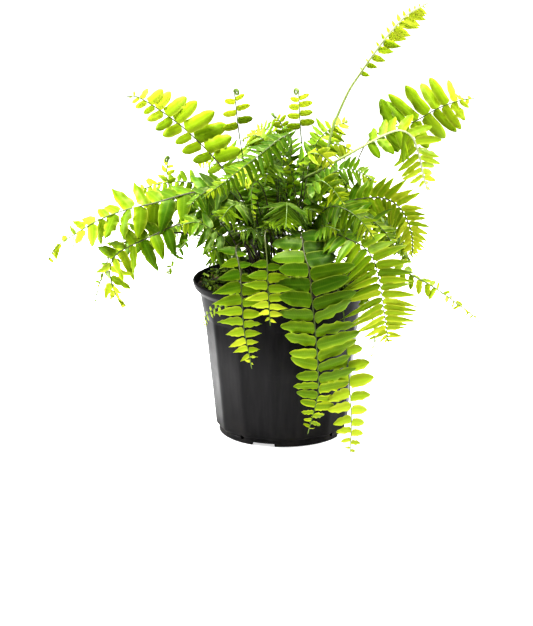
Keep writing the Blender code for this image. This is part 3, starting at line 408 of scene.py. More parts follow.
# Young fronds with a rolled-up tip.
frond("coil_left", (-13, 3), [(-26, 3, 220), (-38, 5, 275), (-43, 5, 306), (-46, 5, 335), (-47, 5, 343)],
      3, 18, start=2, droop=0, roll=(0, 40), lean=-6, across=(1, 0, 0), coil=-1.0, more=1.0, point=0.2,
      full=0.45, wild=0.8, crumpled=1.0, lower=0.0, fresh=0.4, tint="bright")
frond("coil_mid", (6, 8), [(16, 8, 220), (21, 9, 265), (18, 10, 305), (16, 11, 342)], 4, 17, start=2,
      droop=0, roll=(0, 40), lean=-4, across=(1, 0, 0), coil=1.0, more=1.0, point=0.2, full=0.45,
      wild=0.8, crumpled=1.0, lower=0.0, fresh=0.2, tint="lime")
frond("coil_small", (-2, 2), [(-2, -2, 230), (2, -6, 285), (1, -6, 303), (-1, -6, 314), (-8, -6, 322)], 4,
      11, start=2, droop=10, across=(1, 0, 0), coil=-1.0, more=1.0, point=0.2, crumpled=0.8, lower=0.0,
      tint="lime")

# Fronds on the left.
frond("left_upper", (-18, 9), [(-36, 10, 226), (-55, 12, 260), (-71, 18, 279), (-94, 24, 301),
      (-111, 28, 314), (-129, 31, 326), (-144, 33, 334), (-153, 34, 334)], 11, 32, sides=(1.0, 0.62),
      droop=8, roll=(-76, -76), lean=-6, sway=20, hold=0.45, more=1.0, point=0.2, full=0.6, wild=0.8,
      lower=0.0, fresh=0.15, tint="lime")
frond("left_long", (-20, 0), [(-36, -4, 218), (-56, -8, 246), (-86, -18, 248), (-124, -30, 240),
      (-153, -36, 234), (-178, -39, 225), (-199, -41, 213), (-220, -42, 199), (-230, -43, 183)], 12, 34,
      sides=(0.85, 1.0), droop=14, roll=(-46, -40), more=1.3, wild=2.4, crumpled=0.62, lower=0.2,
      fresh=0.12, thick=1.1, tint="bright")
frond("left_bunch", (-31, -5), [(-52, -4, 203), (-78, -7, 230), (-104, -10, 237), (-128, -13, 232),
      (-147, -15, 221)], 8, 25, droop=12, roll=(-40, -40), lean=16, more=1.2, full=0.55, wild=2.4)
frond("left_low", (-25, -8), [(-50, -14, 180), (-71, -22, 202), (-90, -32, 220), (-105, -38, 219),
      (-129, -44, 209), (-148, -49, 201), (-162, -52, 193), (-168, -52, 178), (-165, -53, 160),
      (-156, -53, 139)], 10, 29, start=3, droop=15, roll=(-40, -34), more=1.2, full=0.5, wild=2.3,
      crumpled=0.6, lower=0.0, fresh=0.12, thick=1.1, tint="bright")
frond("left_under", (-27, 1), [(-52, 0, 184), (-86, -2, 202), (-116, -8, 204), (-150, -12, 199),
      (-168, -14, 186), (-178, -15, 164), (-187, -15, 134)], 11, 17, droop=16, roll=(-36, -36), more=1.1,
      point=0.4, wild=1.8, crumpled=0.45, lower=0.0, thick=1.1, tint="bright")
frond("left_droop", (-24, -13), [(-52, -30, 183), (-76, -40, 204), (-90, -45, 207), (-102, -47, 195),
      (-109, -48, 180), (-115, -48, 161)], 8, 8, start=2, droop=16, roll=(-30, -30), more=1.0, point=0.3,
      wild=1.6, crumpled=0.2, lower=0.0, pale=0.3, tint="bright")
frond("left_coil", (-22, 5), [(-46, 6, 205), (-76, 6, 227), (-98, 6, 234), (-112, 6, 250), (-114, 6, 266),
      (-112, 6, 276)], 3, 12, start=3, droop=5, roll=(60, 60), across=(0, 1, 0), coil=1.0, more=1.0,
      point=0.1, full=0.5, wild=1.2, crumpled=1.0, lower=0.0, fresh=0.5, tint="bright")
frond("left_lime", (-28, 8), [(-48, 16, 221), (-67, 18, 240), (-90, 19, 250), (-114, 20, 250),
      (-134, 20, 245), (-148, 20, 238)], 9, 20, droop=14, roll=(-42, -42), more=1.7, point=0.2, wild=1.8,
      crumpled=0.7, lower=0.0, tint="lime")

# Fronds over the middle.
frond("mid_arch", (2, -8), [(4, -13, 240), (9, -22, 290), (7, -31, 307), (-4, -38, 304), (-19, -46, 293),
      (-38, -54, 280), (-57, -60, 266), (-77, -64, 252)], 13, 20, start=2, droop=20, roll=(-32, -32),
      slim=0.85)
frond("top_back", (7, 17), [(20, 18, 225), (26, 24, 262), (32, 29, 284), (46, 35, 300), (66, 41, 308)], 8,
      21, start=2, droop=14, roll=(40, 40), more=1.2, full=0.56, wild=2.2, tint="bright")
frond("young_mid", (12, -2), [(16, -17, 220), (12, -25, 253), (7, -29, 276), (-1, -32, 288)], 5, 10,
      droop=25, more=1.2, point=0.3, wild=1.4, crumpled=0.5, lower=0.0, tint="lime")
frond("twisted_hang", (-9, -10), [(-14, -26, 232), (-20, -42, 258), (-27, -57, 266), (-30, -68, 257),
      (-29, -74, 244), (-27, -77, 230)], 6, 9, start=2, droop=10, roll=(40, 70), more=1.3, point=0.5,
      wild=1.4, crumpled=0.7, lower=0.0, tint="bright")
frond("left_inner", (-17, -9), [(-38, -26, 183), (-53, -44, 203), (-68, -57, 219), (-84, -64, 228),
      (-100, -70, 226)], 8, 26, droop=18, roll=(-30, -30), twist=25, more=1.15, full=0.55, wild=2.2)

# Fronds that fill the middle of the plant.
frond("mid_right", (14, -13), [(28, -22, 212), (44, -36, 236), (60, -49, 238), (76, -58, 228),
      (88, -62, 212)], 9, 26, droop=20, roll=(30, 30), twist=30, tint="bright")
frond("mid_front", (-4, -16), [(2, -30, 222), (4, -50, 244), (4, -68, 242), (3, -84, 228)], 8, 25,
      droop=30, twist=45, tint="dark")
frond("mid_left", (-11, -2), [(-26, -18, 218), (-38, -34, 238), (-50, -48, 240), (-60, -58, 228)], 8, 25,
      droop=20, roll=(-26, -26), twist=30, more=1.2, full=0.55, wild=2.0, tint="dark")
frond("top_left", (-10, 11), [(-24, 18, 228), (-38, 30, 262), (-52, 42, 276), (-70, 52, 274),
      (-86, 58, 262)], 9, 25, droop=14, roll=(-42, -42), tint="bright")
frond("top_mid", (0, 17), [(2, 24, 236), (4, 34, 272), (-6, 44, 294), (-20, 54, 298), (-34, 62, 290)], 9,
      22, droop=14, roll=(-42, -42), tint="bright")
frond("inner_right", (11, -9), [(19, -18, 212), (26, -27, 248), (35, -39, 264), (48, -48, 258),
      (60, -54, 242)], 7, 22, droop=20, roll=(30, 30), twist=35, more=1.25, full=0.56, wild=2.0)
frond("inner_mid", (-3, -8), [(-4, -13, 222), (-4, -21, 258), (-6, -31, 276), (-13, -43, 279),
      (-17, -54, 264)], 7, 22, droop=20, roll=(-16, -16), twist=45, tint="dark")
frond("top_right", (12, 20), [(17, 23, 228), (25, 31, 264), (38, 39, 282), (56, 45, 284), (74, 49, 274)],
      8, 22, droop=14, roll=(42, 42), more=1.2, full=0.56, wild=2.2, tint="bright")
frond("centre_tall", (-4, 9), [(-5, 12, 236), (-9, 15, 274), (-17, 17, 292), (-28, 19, 298),
      (-40, 22, 292)], 7, 18, droop=14, roll=(-46, -46), tint="bright")
frond("left_mid", (-17, -4), [(-31, -11, 214), (-46, -23, 244), (-61, -33, 256), (-77, -41, 252),
      (-91, -46, 240)], 8, 26, droop=20, roll=(-34, -34), twist=20, more=1.15, full=0.55, wild=2.2,
      tint="dark")
frond("right_mid", (21, -2), [(40, -10, 207), (60, -21, 225), (80, -32, 227), (98, -40, 215),
      (110, -45, 197)], 8, 27, droop=18, roll=(32, 32), twist=20, tint="bright")
frond("right_inner", (16, 6), [(30, 5, 236), (46, 4, 260), (64, 4, 267), (80, 5, 262), (94, 5, 251)], 8,
      20, droop=16, roll=(42, 42))
frond("low_left", (-27, -19), [(-38, -34, 183), (-50, -50, 195), (-62, -63, 202), (-75, -71, 198)], 6, 20,
      droop=18, roll=(-24, -24), twist=30, more=1.15, full=0.55, wild=2.2, tint="dark")
frond("low_front", (-9, -17), [(-14, -34, 190), (-22, -48, 212), (-32, -56, 220), (-44, -60, 217)], 6, 23,
      droop=18, roll=(-20, -20), twist=45, tint="dark")
frond("low_front_right", (14, -20), [(22, -32, 190), (32, -46, 212), (42, -56, 222), (54, -64, 220)], 6,
      23, droop=20, roll=(20, 20), twist=45)
frond("low_mid", (3, -20), [(4, -30, 194), (1, -42, 216), (-6, -52, 226), (-16, -58, 228)], 6, 23,
      droop=20, twist=45, tint="dark")
frond("high_mid", (4, 2), [(8, -5, 232), (14, -10, 268), (25, -15, 285), (38, -19, 285), (51, -22, 273)],
      7, 20, droop=18, roll=(36, 36), twist=25, more=1.25, full=0.56, wild=2.2, tint="bright")
frond("centre_left", (-6, -1), [(-14, -8, 228), (-22, -14, 256), (-32, -23, 268), (-45, -31, 262)], 6, 22,
      droop=20, roll=(-30, -30), twist=35, tint="bright")
frond("centre_low", (2, -14), [(8, -20, 198), (14, -31, 224), (23, -41, 236), (35, -50, 234)], 6, 22,
      droop=20, roll=(24, 24), twist=45)

# Fronds round the back, which the front view hides.
frond("back_centre", (-3, 24), [(-3, 40, 212), (-5, 72, 240), (-8, 108, 232), (-11, 140, 198),
      (-12, 156, 160)], 9, 30, droop=18)
frond("back_right", (7, 23), [(18, 38, 222), (34, 70, 254), (48, 104, 246), (60, 132, 212),
      (66, 148, 174)], 9, 29, droop=18, tint="bright")
frond("back_left", (-12, 20), [(-20, 36, 216), (-36, 66, 242), (-52, 98, 232), (-64, 126, 200),
      (-70, 144, 164)], 9, 29, droop=18)
frond("right_back", (17, 19), [(38, 36, 206), (62, 58, 231), (88, 82, 222), (106, 100, 190),
      (114, 110, 158)], 9, 27, droop=22, tint="bright")
frond("right_side", (25, 12), [(50, 18, 198), (80, 28, 216), (106, 38, 208), (122, 45, 186),
      (130, 50, 160)], 9, 25, droop=35)
frond("left_back", (-21, 16), [(-36, 32, 202), (-54, 54, 222), (-72, 74, 216), (-84, 90, 190)], 8, 25,
      droop=25)
frond("left_side", (-25, 12), [(-44, 18, 198), (-68, 30, 218), (-96, 40, 212), (-118, 48, 188)], 8, 23,
      droop=40, tint="dark")
frond("low_back_right", (13, 26), [(28, 50, 184), (50, 84, 196), (68, 112, 176), (80, 130, 140)], 9, 24,
      droop=18, tint="dark")
frond("low_back", (3, 29), [(-4, 54, 180), (-14, 88, 190), (-24, 118, 166), (-28, 136, 128),
      (-30, 142, 96)], 9, 25, droop=15)
frond("low_back_left", (-16, 25), [(-30, 46, 180), (-48, 74, 188), (-64, 100, 166), (-72, 112, 130)], 8,
      23, droop=20, tint="dark")


def between(low, high, share):
    """The value at a share of the way from low to high."""
    return low + (high - low) * share


def held(value):
    """A value kept from 0 to 1."""
    return min(1.0, max(0.0, value))


def round_turns(count):
    """Even turns round a circle."""
    return [2.0 * pi * k / count for k in range(count)]


def on_circle(middle, across, up, radius, turn):
    """The point at a turn on a circle about a middle."""
    return middle + across * (radius * cos(turn)) + up * (radius * sin(turn))


def curve_point(before, a, b, after, t):
    """A point of the smooth curve from a to b, which also passes before and after."""
    return 0.5 * ((2.0 * a) + (b - before) * t + (2.0 * before - 5.0 * a + 4.0 * b - after) * t * t
                  + (3.0 * a - before - 3.0 * b + after) * t ** 3)


def coil_points(start, along, towards):
    """The rolled-up tip of a young frond: a spiral that winds in from the stalk's end."""
    total = COIL_TURNS * 2.0 * pi
    steps = int(total / COIL_STEP)
    centre = start + towards * COIL_OUTER
    points = []
    for index in range(1, steps + 1):
        turn = total * index / steps
        r = COIL_OUTER + (COIL_INNER - COIL_OUTER) * index / steps
        points.append(centre - towards * r * cos(turn) + along * r * sin(turn))
    return points


def trace(item):
    """Give a frond the points of its stalk and midrib, and their distances from its foot."""
    x, y = item.root
    foot = Vector((x, y, STALK_FOOT))
    free = Vector((x, y, STALK_FREE))
    knots = [free] + [Vector(p) for p in item.route]
    first = free - Vector((0.0, 0.0, (knots[1] - free).length * FOOT_PULL))
    last = knots[-1] * 2.0 - knots[-2]
    padded = [first] + knots + [last]
    points = [foot, free]
    marks = [0]
    for index in range(1, len(padded) - 2):
        for sample in range(1, SPAN_SAMPLES + 1):
            points.append(curve_point(*padded[index - 1:index + 3], sample / SPAN_SAMPLES))
        marks.append(len(points) - 1)
    lengths = [0.0]
    for before, after in zip(points, points[1:]):
        lengths.append(lengths[-1] + (after - before).length)
    item.points = points
    item.lengths = lengths
    item.total = lengths[-1]
    item.blade_start = lengths[marks[item.start + 1]]


def at(points, lengths, distance):
    """Place and direction at a distance along a line of points."""
    distance = min(max(distance, 0.0), lengths[-1])
    index = 1
    while index < len(lengths) - 1 and lengths[index] < distance:
        index += 1
    share = (distance - lengths[index - 1]) / (lengths[index] - lengths[index - 1])
    place = points[index - 1].lerp(points[index], share)
    low = max(index - 2, 0)
    high = min(index + 1, len(points) - 1)
    return place, (points[high] - points[low]).normalized()


def across_vector(item):
    """The level direction across the blade, to the left of the way the frond reaches out."""
    if item.across:
        return Vector(item.across).normalized()
    x, y = item.root
    tip = item.route[-1]
    return Vector((-(tip[1] - y), tip[0] - x, 0.0)).normalized()


def leaflet_length(item, share):
    """Leaflet length along the blade: full near its start, then shorter to the tip."""
    first = FIRST_LENGTH * (FULL_LENGTH_AT / item.late) ** FIRST_POWER
    rise = between(first, 1.0, min(1.0, share / item.late))
    fall = 1.0 - TAPER * max(0.0, (share - item.hold) / (1.0 - item.hold)) ** TAPER_POWER
    if item.coil:
        fall = 1.0 - COIL_TAPER * share
    return item.leaf * rise * fall


def cross_line(item, distance):
    """Place, directions and radius of a frond's stalk or midrib at a distance from its foot."""
    level = across_vector(item)
    place, along = at(item.points, item.lengths, distance)
    if distance < UPRIGHT_TO:
        along = Vector((0.0, 0.0, 1.0))
    across = (level - along * level.dot(along)).normalized()
    if distance > UPRIGHT_TO:
        share = max(0.0, (distance - item.blade_start) / max(item.total - item.blade_start, 1.0))
        turn = radians(between(*item.roll, share)) * min(1.0, distance / item.blade_start)
        across = Matrix.Rotation(turn, 3, along) @ across
    half = between(STALK_RADIUS, TIP_RADIUS, (distance / item.total) ** STALK_TAPER)
    half *= between(1.0, item.thick, held((distance - BURIED) / THICK_FROM))
    return SimpleNamespace(place=place, along=along, across=across, up=along.cross(across), half=half,
                           distance=distance)


def half_width(leaflet, scale):
    """Half the width of a leaflet that is shortened to a share of its length."""
    return max(leaflet.half * between(WIDTH_KEPT, 1.0, scale), SMALLEST_HALF)


def directions(leaflet, bend):
    """The way a leaflet points and the way across it, once it is bent up or down by some degrees."""
    turn = Matrix.Rotation(radians(bend) * leaflet.side, 3, leaflet.along)
    out = (turn @ leaflet.out).normalized()
    width = Matrix.Rotation(radians(leaflet.twist), 3, out) @ leaflet.along
    return out, (width - out * width.dot(out)).normalized()


def outline(leaflet, scale, bend, grow=0.0):
    """The leaflet's shape: its two broad points and its tip."""
    base = leaflet.base
    out, width = directions(leaflet, bend)
    length = leaflet.length * scale
    half = half_width(leaflet, scale) + grow
    sag = leaflet.up * (-LEAFLET_SAG * length)
    broad = base + out * (length * BROAD_AT) + sag * BROAD_AT * BROAD_AT
    tip = base + out * (length + grow) + sag + leaflet.along * (LEAFLET_BEND * length)
    return broad - width * half, broad + width * half, tip


def grow_row(item, side, rng):
    """The leaflets on one side of a midrib, from the lowest to the tip, with no widths yet."""
    wild = item.wild
    pairs = int(round(item.pairs * item.more))
    gaps = [between(1.0, TIP_PITCH, (k / pairs) ** PITCH_POWER) for k in range(pairs)]
    blade = item.total - item.blade_start - TIP_LENGTH * (2.0 if item.coil else 1.0)
    first = blade * gaps[0] / sum(gaps)
    lower = int(item.lower * item.blade_start / first)
    distance = item.blade_start - lower * first

    def by_chance(draw, turned):
        return rng.uniform(-1.0, 1.0) * (draw * wild + turned)

    row = []
    for index in range(-lower, pairs):
        step = blade * gaps[max(index, 0)] / sum(gaps)
        spot = cross_line(item, distance + step * (0.5 + ALTERNATE * side))
        distance += step
        share = (index + 0.5) / pairs
        crumple = held((share - item.crumpled) * CRUMPLE_RISE)
        length = leaflet_length(item, max(share, 0.0)) * item.sides[0 if side < 0 else 1]
        length *= rng.uniform(*LENGTH_DRAW) * (1.0 - CRUMPLE_LENGTH * crumple * rng.random())
        if index < 0:
            length *= 1.0 - (1.0 - LOWEST_LENGTH) * index / -lower
        turned = CRUMPLE_TURN * crumple
        droop = radians(item.droop + by_chance(DROOP_DRAW, turned))
        lean = item.lean + item.sway * side + TIP_LEAN * share
        lean = radians(lean + by_chance(LEAN_DRAW, turned * CRUMPLE_LEAN))
        twist = item.twist + SHINGLE + by_chance(TWIST_DRAW, turned)
        flat = spot.across * (cos(droop) * side) - spot.up * sin(droop)
        row.append(SimpleNamespace(
            index=index, side=side, share=share, pitch=step, length=length, along=spot.along, up=spot.up,
            base=spot.place + spot.across * (spot.half * 0.5 * side), twist=twist * side,
            out=flat * cos(lean) + spot.along * sin(lean), wild=wild * (1.0 + CRUMPLE_CURL * crumple),
            draws=[rng.random() for _ in range(6)]))
    return row


def set_widths(row, item):
    """Give each leaflet of a row the half width that its neighbours leave it."""
    for place, leaflet in enumerate(row):
        reach = leaflet.length * BROAD_AT
        centre = leaflet.base + leaflet.out * reach
        room = leaflet.pitch
        for other in row[max(place - 1, 0):place + 2]:
            if other is not leaflet:
                room = min(room, (other.base + other.out * reach - centre).length)
        room = max(room, leaflet.pitch * LEAST_ROOM)
        half = min(item.full * room * item.slim, leaflet.length * LARGEST_WIDTH / 2.0)
        leaflet.half = max(SMALLEST_HALF, half)


def plan_leaflets(item):
    """Every leaflet of a frond as it would grow with nothing in its way."""
    rng = random.Random(item.seed)
    leaflets = []
    for side in (-1, 1):
        row = grow_row(item, side, rng)
        set_widths(row, item)
        leaflets += row
    return sorted(leaflets, key=lambda leaflet: (leaflet.index, leaflet.side))


def guard(leaflet, scale, bend):
    """A thick closed copy of a leaflet, without its root, for testing what it would touch."""
    near, far, tip = outline(leaflet, scale, bend, grow=LEAFLET_CLEARANCE)
    first = leaflet.base.lerp(near, GUARD_FROM)
    second = leaflet.base.lerp(far, GUARD_FROM)
    ring = [first, second, far, tip, near]
    normal = (far - near).cross(tip - leaflet.base).normalized() * NEIGHBOUR_CLEARANCE
    points = [p + normal for p in ring] + [p - normal for p in ring]
    faces = [(0, 1, 2), (0, 2, 4), (2, 3, 4), (5, 7, 6), (5, 9, 7), (7, 9, 8)]
    for k in range(5):
        faces.append((k, (k + 1) % 5, (k + 1) % 5 + 5, k + 5))
    return points, faces


def corners(points):
    """Lowest and highest corner of some points."""
    return (Vector([min(p[axis] for p in points) for axis in range(3)]),
            Vector([max(p[axis] for p in points) for axis in range(3)]))


def apart(one, two):
    """Whether two boxes don't touch."""
    return any(one[0][axis] > two[1][axis] or two[0][axis] > one[1][axis] for axis in range(3))


def stalk_tube(spots):
    """A square tube round a stalk and midrib, for testing."""
    points = []
    faces = []
    for spot in spots:
        wide = spot.half + STALK_CLEARANCE
        for a, b in SQUARE:
            points.append(spot.place + spot.across * (wide * a) + spot.up * (wide * b))
    for k in range(len(spots) - 1):
        for side in range(4):
            after = (side + 1) % 4
            faces.append((4 * k + side, 4 * k + after, 4 * k + 4 + after, 4 * k + 4 + side))
    return points, faces


def tree(points, faces):
    """A search tree with its box."""
    return BVHTree.FromPolygons(points, faces), corners(points)


def node_tree(node):
    """A search tree of a CAD node, in millimetres."""
    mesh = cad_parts[node].data
    return tree([vert.co / MM for vert in mesh.vertices], [tuple(face.vertices) for face in mesh.polygons])


def settle(leaflets, firm, leafage):
    """Shorten and bend each leaflet until it is clear, or as clear as the crowd lets it be."""
    kept = []
    tries = [(fit, firm + leafage) for fit in CLEAR_FITS] + [(fit, firm) for fit in TIGHT_FITS]
    for leaflet in leaflets:
        own = [other.tree for other in kept if other.side != leaflet.side
               or abs(other.index - leaflet.index) > 1]
        for fit, obstacles in tries:
            points, faces = guard(leaflet, *fit)
            box = corners(points)
            if box[0].z < FLOOR_CLEARANCE:
                continue
            near = [entry for entry in obstacles + own if not apart(entry[1], box)]
            test = BVHTree.FromPolygons(points, faces) if near else None
            if any(test.overlap(entry[0]) for entry in near):
                continue
            near_point, far_point, tip = outline(leaflet, *fit)
            shape = [leaflet.base, far_point, tip, near_point]
            leaflet.fit = fit
            leaflet.tree = tree(shape, [(0, 1, 3), (1, 2, 3)])
            kept.append(leaflet)
            break
    return kept


def lay_out(obstacles):
    """Plan all fronds: their stalks first, then leaflets that give way to what is there."""
    for item in FRONDS:
        trace(item)
        steps = int(ceil(item.total / TUBE_STEP))
        item.spots = [cross_line(item, item.total * k / steps) for k in range(steps + 1)]
        item.stalk = tree(*stalk_tube(item.spots))
        item.leaflets = []
    for item in FRONDS:
        others = [other.stalk for other in FRONDS if other is not item]
        placed = [leaflet.tree for other in FRONDS for leaflet in other.leaflets]
        item.leaflets = settle(plan_leaflets(item), obstacles + others, placed)


def new_object(name, data):
    """An object of some data, in the scene."""
    obj = bpy.data.objects.new(name, data)
    bpy.context.scene.collection.objects.link(obj)
    return obj


def from_bmesh(name, bm):
    """An object from a bmesh, which is used up."""
    mesh = bpy.data.meshes.new(name)
    bm.to_mesh(mesh)
    bm.free()
    return new_object(name, mesh)


def dress(piece, slot, *nodes):
    """Hang a piece on the body and let it stand for CAD nodes. The slot is not used."""
    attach(piece, "root")
    if nodes:
        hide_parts(*nodes)


class Sheaf:
    """Vertices, faces and per-vertex values of one piece, gathered before its mesh is made."""

    def __init__(self):
        self.points = []
        self.faces = []
        self.slots = []
        self.values = {"age": [], "tone": [], "across": [], "run": []}
        self.count = 0

    def add(self, points, faces, slot=0, **values):
        """Add points with their faces, which count from the first of these points."""
        self.points.append(np.asarray(points, float))
        self.faces += [tuple(corner + self.count for corner in face) for face in faces]
        self.slots += [slot] * len(faces)
        for field, parts in self.values.items():
            parts.append(np.broadcast_to(np.asarray(values.get(field, 0.0), float), (len(points),)))
        self.count += len(points)

    def piece(self, name, materials, sharp):
        """The gathered parts as one object, with its values as attributes, and sharp past an angle."""
        mesh = bpy.data.meshes.new(name)
        mesh.from_pydata(np.concatenate(self.points) * MM, [], self.faces)
        for mat in materials:
            mesh.materials.append(mat)
        mesh.polygons.foreach_set("material_index", self.slots)
        for field, parts in self.values.items():
            mesh.attributes.new(field, "FLOAT", "POINT").data.foreach_set("value", np.concatenate(parts))
        mesh.shade_smooth()
        mesh.set_sharp_from_angle(angle=radians(sharp))
        mesh.update()
        return new_object(name, mesh)


def tube_faces(rings, sides):
    """Faces of a tube whose rings run one after another, with both ends closed."""
    faces = [tuple(range(sides))]
    for k in range(rings - 1):
        for side in range(sides):
            after = (side + 1) % sides
            low, high = k * sides, (k + 1) * sides
            faces.append((low + side, low + after, high + after, high + side))
    faces.append(tuple(reversed(range((rings - 1) * sides, rings * sides))))
    return faces


def add_stalk(sheaf, item, tone):
    """The stalk and midrib: a tube with a groove along its upper side, and the coil of a young tip."""
    last = item.spots[-1]
    rings = [(spot.place, spot.across, spot.up, spot.half) for spot in item.spots]
    ages = [STALK_AGE * spot.distance / item.total + item.pale for spot in item.spots]
    if item.coil:
        places = coil_points(last.place, last.along, last.up * item.coil)
        for k, place in enumerate(places):
            ahead = places[min(k + 1, len(places) - 1)] - places[max(k - 1, 0)]
            radius = last.half * COIL_FATNESS * (1.0 - COIL_THINNING * k / len(places))
            rings.append((place, last.across, ahead.normalized().cross(last.across), radius))
    else:
        end = last.place + last.along * TIP_LENGTH
        rings.append((end, last.across, last.up, TIP_RADIUS / 3.0))
    ages += [STALK_AGE + item.pale] * (len(rings) - len(ages))
    points = []
    for place, across, up, radius in rings:
        for turn in round_turns(TUBE_SIDES):
            reach = radius * (1.0 - STALK_GROOVE * max(0.0, sin(turn)) ** 8)
            points.append(on_circle(place, across, up, reach, turn))
    sheaf.add(points, tube_faces(len(rings), TUBE_SIDES), 1, age=np.repeat(ages, TUBE_SIDES), tone=tone)


def add_scales(sheaf, item, rng):
    """Brown papery scales: dense at the stalk's foot, and fine hairs further up."""
    distance = BURIED - SCALE_START
    while distance < item.total * HAIRS_TO:
        low = exp(-(max(0.0, distance - BURIED) / SCALE_FADE) ** 2)
        length = rng.uniform(*SCALE_LENGTH_DRAW) * between(HAIR_LENGTH, SCALE_LENGTH, low)
        spot = cross_line(item, distance)
        turn = rng.uniform(0.0, 2.0 * pi)
        away = spot.across * cos(turn) + spot.up * sin(turn)
        side = spot.across * -sin(turn) + spot.up * cos(turn)
        tilt = rng.uniform(*SCALE_TILT)
        point = (away * sin(tilt) + spot.along * cos(tilt)) * length
        wide = SCALE_WIDTH * between(HAIR_WIDTH, 1.0, low)
        root = spot.place + away * (spot.half * SCALE_SEAT)
        ends = [root - side * wide, root + side * wide, root + away * wide * 0.5, root + point]
        sheaf.add(ends, [(0, 2, 1), (0, 1, 3), (1, 2, 3), (2, 0, 3)], 1,
                  age=SCALE_AGE + SCALE_RIPENING * (distance / item.total) + item.pale, tone=rng.random())
        step = HAIR_STEP * (1.0 - WOOL_STEP * min(item.pale, 1.0))
        distance += rng.uniform(*SCALE_STEP_DRAW) * between(step, SCALE_STEP, low)


def leaf_width(reach, point):
    """A leaflet's half width along its length, as a share of the largest."""
    base = 1.0 - np.exp(-reach / ROOT_SPREAD)
    rise = between(SHOULDER, 1.0, np.sin(0.5 * np.pi * np.clip(reach / WIDEST_AT, 0.0, 1.0)))
    full_to = BLUNT_TO - POINT_SOONER * point
    fall = np.clip((reach - full_to) / (1.0 - full_to), 0.0, 1.0)
    blunt, pointed = [(1.0 - fall ** first) ** second for first, second in (BLUNT_POWERS, POINT_POWERS)]
    return np.maximum(base * rise * between(blunt, pointed, point), LEAST_WIDTH)


def blade_faces(rows, columns, front):
    """Faces of a thin closed blade: an upper sheet, and a lower one that shares its edge."""
    top = np.arange(rows * columns).reshape(rows, columns)
    under = top.copy()
    inner = np.arange((rows - 2) * (columns - 2)).reshape(rows - 2, columns - 2)
    under[1:-1, 1:-1] = inner + rows * columns
    faces = []
    for i in range(rows - 1):
        for j in range(columns - 1):
            quad = (top[i, j], top[i, j + 1], top[i + 1, j + 1], top[i + 1, j])
            back = (under[i, j], under[i + 1, j], under[i + 1, j + 1], under[i, j + 1])
            faces += [quad, back] if front else [quad[::-1], back[::-1]]
    return faces


def both_sheets(values):
    """A blade's values for its upper sheet, and again for the lower one inside the edge."""
    return np.concatenate([values.ravel(), values[1:-1, 1:-1].ravel()])


def add_leaflet(sheaf, leaflet, item, tone):
    """One leaflet: a thin closed blade with a grooved midvein, an ear at its base and wavy edges."""
    scale, bend = leaflet.fit
    wild, draws = leaflet.wild, leaflet.draws
    length = leaflet.length * scale
    half = half_width(leaflet, scale)
    out, width = directions(leaflet, bend)
    normal = width.cross(out)
    front = normal.dot(leaflet.up) > 0.0
    if not front:
        normal = -normal
    rows, columns = GRIDS[length >= FINE_FROM]
    reach, across = np.meshgrid(rows, columns, indexing="ij")
    belly = np.sin(np.pi * reach)
    ear = np.exp(-((reach - EAR_AT) / EAR_SPREAD) ** 2) * np.clip(across, 0.0, 1.0) * EAR
    wide = half * leaf_width(reach, item.point) * (1.0 + ear)

    def by_chance(chance, index):
        return chance[0] + chance[1] * draws[index]

    waves = by_chance(WAVES_CHANCE, 0) * reach + draws[1] + WAVE_SHIFT * np.sign(across)
    waves = np.sin(2.0 * np.pi * waves) * across ** 2 * belly ** WAVE_FADE
    lift = WAVE * min(wild, MOST_WAVE) * half * waves * by_chance(WAVE_CHANCE, 2)
    cup = np.abs(across) ** CUP_POWER * np.clip(reach / CUP_FROM, 0.0, 1.0)
    lift -= CUP * half * by_chance(CUP_CHANCE, 3) * cup
    lift -= CURL * wild * length * by_chance(CURL_CHANCE, 4) * reach ** 3
    lift -= VEIN_GROOVE * np.exp(-(across / GROOVE_SPREAD) ** 2) * belly ** 0.5
    swing = LEAFLET_BEND * item.bend * by_chance(BEND_CHANCE, 5) * length * reach ** 2
    place = np.array(leaflet.base)
    for way, amount in ((out, length * reach), (width, wide * across), (leaflet.along, swing),
                        (leaflet.up, -LEAFLET_SAG * length * reach ** 2), (normal, lift)):
        place = place + np.array(way) * amount[..., None]
    deep = LEAF_THICKNESS * (1.0 - 0.5 * across ** 2)
    deep += VEIN_THICKNESS * np.exp(-(across / VEIN_SPREAD) ** 2)
    deep = np.minimum(deep * (1.0 - 0.6 * reach), 0.5 * half)
    behind = place - np.array(normal) * deep[..., None]
    points = np.concatenate([place.reshape(-1, 3), behind[1:-1, 1:-1].reshape(-1, 3)])
    sheaf.add(points, blade_faces(len(rows), len(columns), front), age=leaflet.share + item.fresh,
              tone=tone, across=both_sheets(across), run=both_sheets(length * reach))


def build_frond(item, leaf, stalk):
    """One frond as a fine piece that stands for its CAD node."""
    rng = random.Random(item.seed + 1000)
    tone = rng.random()
    sheaf = Sheaf()
    add_stalk(sheaf, item, tone)
    add_scales(sheaf, item, rng)
    for leaflet in item.leaflets:
        add_leaflet(sheaf, leaflet, item, held(tone * 0.5 + rng.random() * 0.5))
    dress(sheaf.piece(item.name + "_frond", [leaf, stalk], 50.0), "leaf_" + item.tint, "frond_" + item.name)


def wall_inside(gap):
    """Radius and height down the pot's inner wall, from the collar's inside to the floor's edge."""
    return [(RIM_RADIUS - WALL - gap - COLLAR_TAPER, POT_HEIGHT - BAND_HEIGHT + LEDGE),
            (NECK_RADIUS - WALL - gap, NECK_TOP + LEDGE / 2.0),
            (PANEL_TOP_RADIUS - WALL - gap, PANEL_TOP), (PANEL_FOOT_RADIUS - WALL - gap, PANEL_FOOT),
            (SOLE_RADIUS + GROOVE_SLOPE, GROOVE_HEIGHT + WALL + gap), (SOLE_RADIUS - WALL, FLOOR + gap)]


